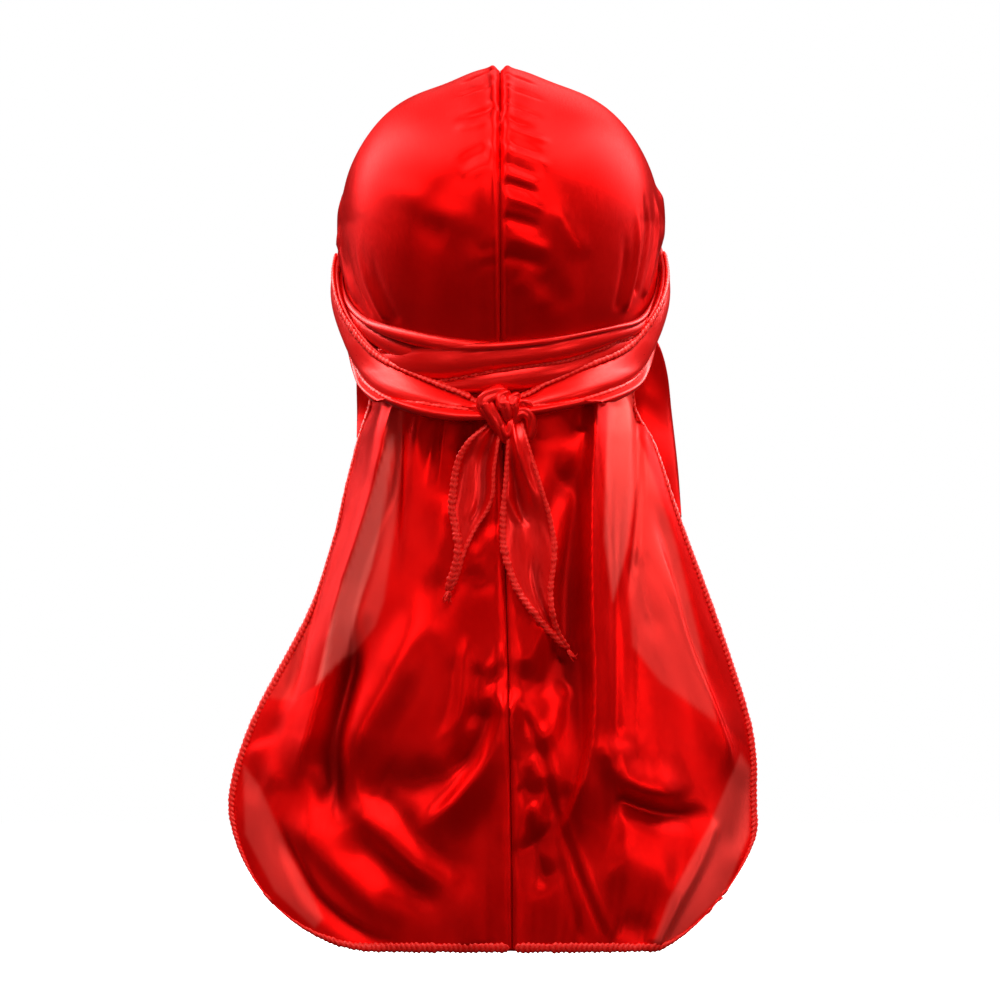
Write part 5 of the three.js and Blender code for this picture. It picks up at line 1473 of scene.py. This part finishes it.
ends, end_cords, end_areas = {}, {}, {}
for loose in LOOSE_ENDS:
    outer, strip_shade = loose_end_grid(loose)
    normals = grid_normals(outer, 1)
    normals = normals * np.sign(-normals[..., 1:2])
    inner = outer - normals * SATIN_THICKNESS
    piece = wall(loose.node + "_strip", outer, inner, -1, tie_satin, {"hollow": strip_shade})
    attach(piece, "root")
    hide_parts(loose.node)
    cords = []
    for label, column, widths in (("left", 0, loose.left_cord), ("right", -1, loose.right_cord)):
        line = outer[:, column]
        inwards = unit(outer[:, END_ACROSS // 2] - line)
        cords.append(overlock(f"{loose.node}_{label}_cord", line + END_CORD_INSET * inwards, inwards,
                              normals[:, column], widths, 0.5 * max(widths), TIE_CORD_PITCH))
    tip = outer[-1].mean(axis=0)
    run = unit(tip - outer[-12].mean(axis=0))
    cords.append(frayed_tip(loose.node + "_frayed_tip", tip, run, FRAYED_LENGTH))
    for cord in cords:
        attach(cord, "root")
    ends[loose.node], end_cords[loose.node], end_areas[loose.node] = piece, cords, area_of(outer)
    print(loose.node, "strip:", loose.length, "mm long")

# %% [markdown]
# Every sheet of cloth is declared with the size that it was cut to, so that it can be checked that no
# Each sheet's area is measured as it is made: a panel's is printed, and those of the ties and the loose
# ends are kept. A panel is cut as a rounded strip, and a tie's area is that of the folded band.


# %% [markdown]
# The floor is plain and pale: a matt painted board, lit like a light table. The durag neither mirrors it
# nor takes its light, so the floor leaves no pale rim on the satin.

# %% The floor
FLOOR_Z, FLOOR_SIZE, FLOOR_GLOW = -0.462, 6, 0.85


def floor_material():
    """Matt white painted board, lit from below as a light table is, so it throws no grey band."""
    material, tree = new_material("white_painted_board")
    place = add_node(tree, "ShaderNodeTexCoord")
    grain = add_node(tree, "ShaderNodeTexNoise", {"Vector": place.outputs["Object"]}, {"Scale": 6.0})
    tone = add_ramp(tree, grain.outputs["Fac"], [(0.3, "f6f6f6"), (0.7, "fafafa")])
    shader = add_node(tree, "ShaderNodeBsdfPrincipled", {"Base Color": tone},
                      {"Roughness": 0.9, "Emission Color": (1, 1, 1, 1), "Emission Strength": FLOOR_GLOW})
    add_node(tree, "ShaderNodeOutputMaterial", {"Surface": shader.outputs["BSDF"]})
    return material


bpy.ops.mesh.primitive_plane_add(size=FLOOR_SIZE, location=(0, 0, FLOOR_Z))
floor = bpy.context.object
floor.name = "floor"
floor.data.materials.append(floor_material())
floor.visible_diffuse = False
floor.visible_glossy = False
print("floor at", FLOOR_Z, "m")

# %% [markdown]
# Satin shows its lights more than its shape, so they are placed for their mirror images. Two long, slim
# soft boxes slant past the head, one at each side, high at the camera's end and low at the far end. Each
# gives the crown a broad slanting band and every ridge of the tail a bright flank. A box high on the
# camera's side makes the highlights on top of the ties' pleats and the swags. Weak ones near the camera
# and on the far side open the shadows. The world is white where the camera sees it, and dim as a light,
# so that hollows stay deep.

# %% Light and world


def soft_box(name, place, aim, size, watts, along=(1, 0, 0)):
    """A rectangular area light that faces a point. along is the way its long side lies."""
    lamp = bpy.data.lights.new(name, "AREA")
    lamp.shape, lamp.size, lamp.size_y, lamp.energy = "RECTANGLE", size[0], size[1], watts
    back = (Vector(place) - Vector(aim)).normalized()
    upright = back.cross(Vector(along)).normalized()
    box = bpy.data.objects.new(name, lamp)
    box.location = place
    box.rotation_euler = Matrix((upright.cross(back), upright, back)).transposed().to_euler()
    bpy.context.scene.collection.objects.link(box)


# Each box: where it stands, what it faces, its size, its watts and the way its long side lies
SLANTING_SIZE, SLANTING_WATTS = (2.2, 0.34), 34
soft_box("light_left", (-0.95, 0.35, 0.9), (0, 0, -0.07), SLANTING_SIZE, SLANTING_WATTS, (-0.42, 1.8, -1.0))
soft_box("light_right", (0.95, 0.35, 0.9), (0, 0, -0.07), SLANTING_SIZE, SLANTING_WATTS, (0.42, 1.8, -1.0))
soft_box("light_above", (0, -1.45, 1.6), (0, 0, -0.08), (1.5, 0.35), 25)
soft_box("light_left_front", (-1.35, -1.35, 0.3), (0, 0, -0.2), (0.3, 0.6), 1.4)
soft_box("light_right_front", (1.35, -1.35, 0.3), (0, 0, -0.2), (0.3, 0.6), 3.4)
soft_box("light_camera", (0, -2.2, 0.1), (0, 0, -0.15), (1.4, 0.25), 2.0)
soft_box("light_far", (0.3, 1.7, 1.0), (0, 0, -0.2), (1.2, 0.8), 6)

WORLD_LIGHT = 0.1
world = bpy.data.worlds.new("studio")
world.use_nodes = True
world.node_tree.nodes.clear()
seen = add_node(world.node_tree, "ShaderNodeLightPath")
strength = add_node(world.node_tree, "ShaderNodeMapRange", {"Value": seen.outputs["Is Camera Ray"]},
                    {"To Min": WORLD_LIGHT, "To Max": 1.0})
sky = add_node(world.node_tree, "ShaderNodeBackground", {"Strength": strength.outputs["Result"]},
               {"Color": (1, 1, 1, 1)})
add_node(world.node_tree, "ShaderNodeOutputWorld", {"Surface": sky.outputs["Background"]})
bpy.context.scene.world = world
bpy.context.scene.view_settings.view_transform = "Standard"
print("soft boxes:", len(bpy.data.lights))

# %% [markdown]
# The camera looks at the back of the head, level with the middle of the durag, from far away with a long
# lens, so the near tail isn't drawn larger than the crown.

# %% Camera
CAMERA_DISTANCE, VIEW_WIDTH, SENSOR = 6.0, 0.5, 36.0
VIEW_MIDDLE_Z = -0.2175
MEAN_DEPTH = -0.05
camera_data = bpy.data.cameras.new("camera")
camera_data.sensor_width = SENSOR
camera_data.lens = SENSOR * CAMERA_DISTANCE / VIEW_WIDTH
camera_data.clip_end = 50
camera = bpy.data.objects.new("camera", camera_data)
camera.location = (0, MEAN_DEPTH - CAMERA_DISTANCE, VIEW_MIDDLE_Z)
camera.rotation_euler = (math.pi / 2, 0, 0)
bpy.context.scene.collection.objects.link(camera)
bpy.context.scene.camera = camera
print("camera:", round(camera_data.lens), "mm lens,", CAMERA_DISTANCE, "m away")
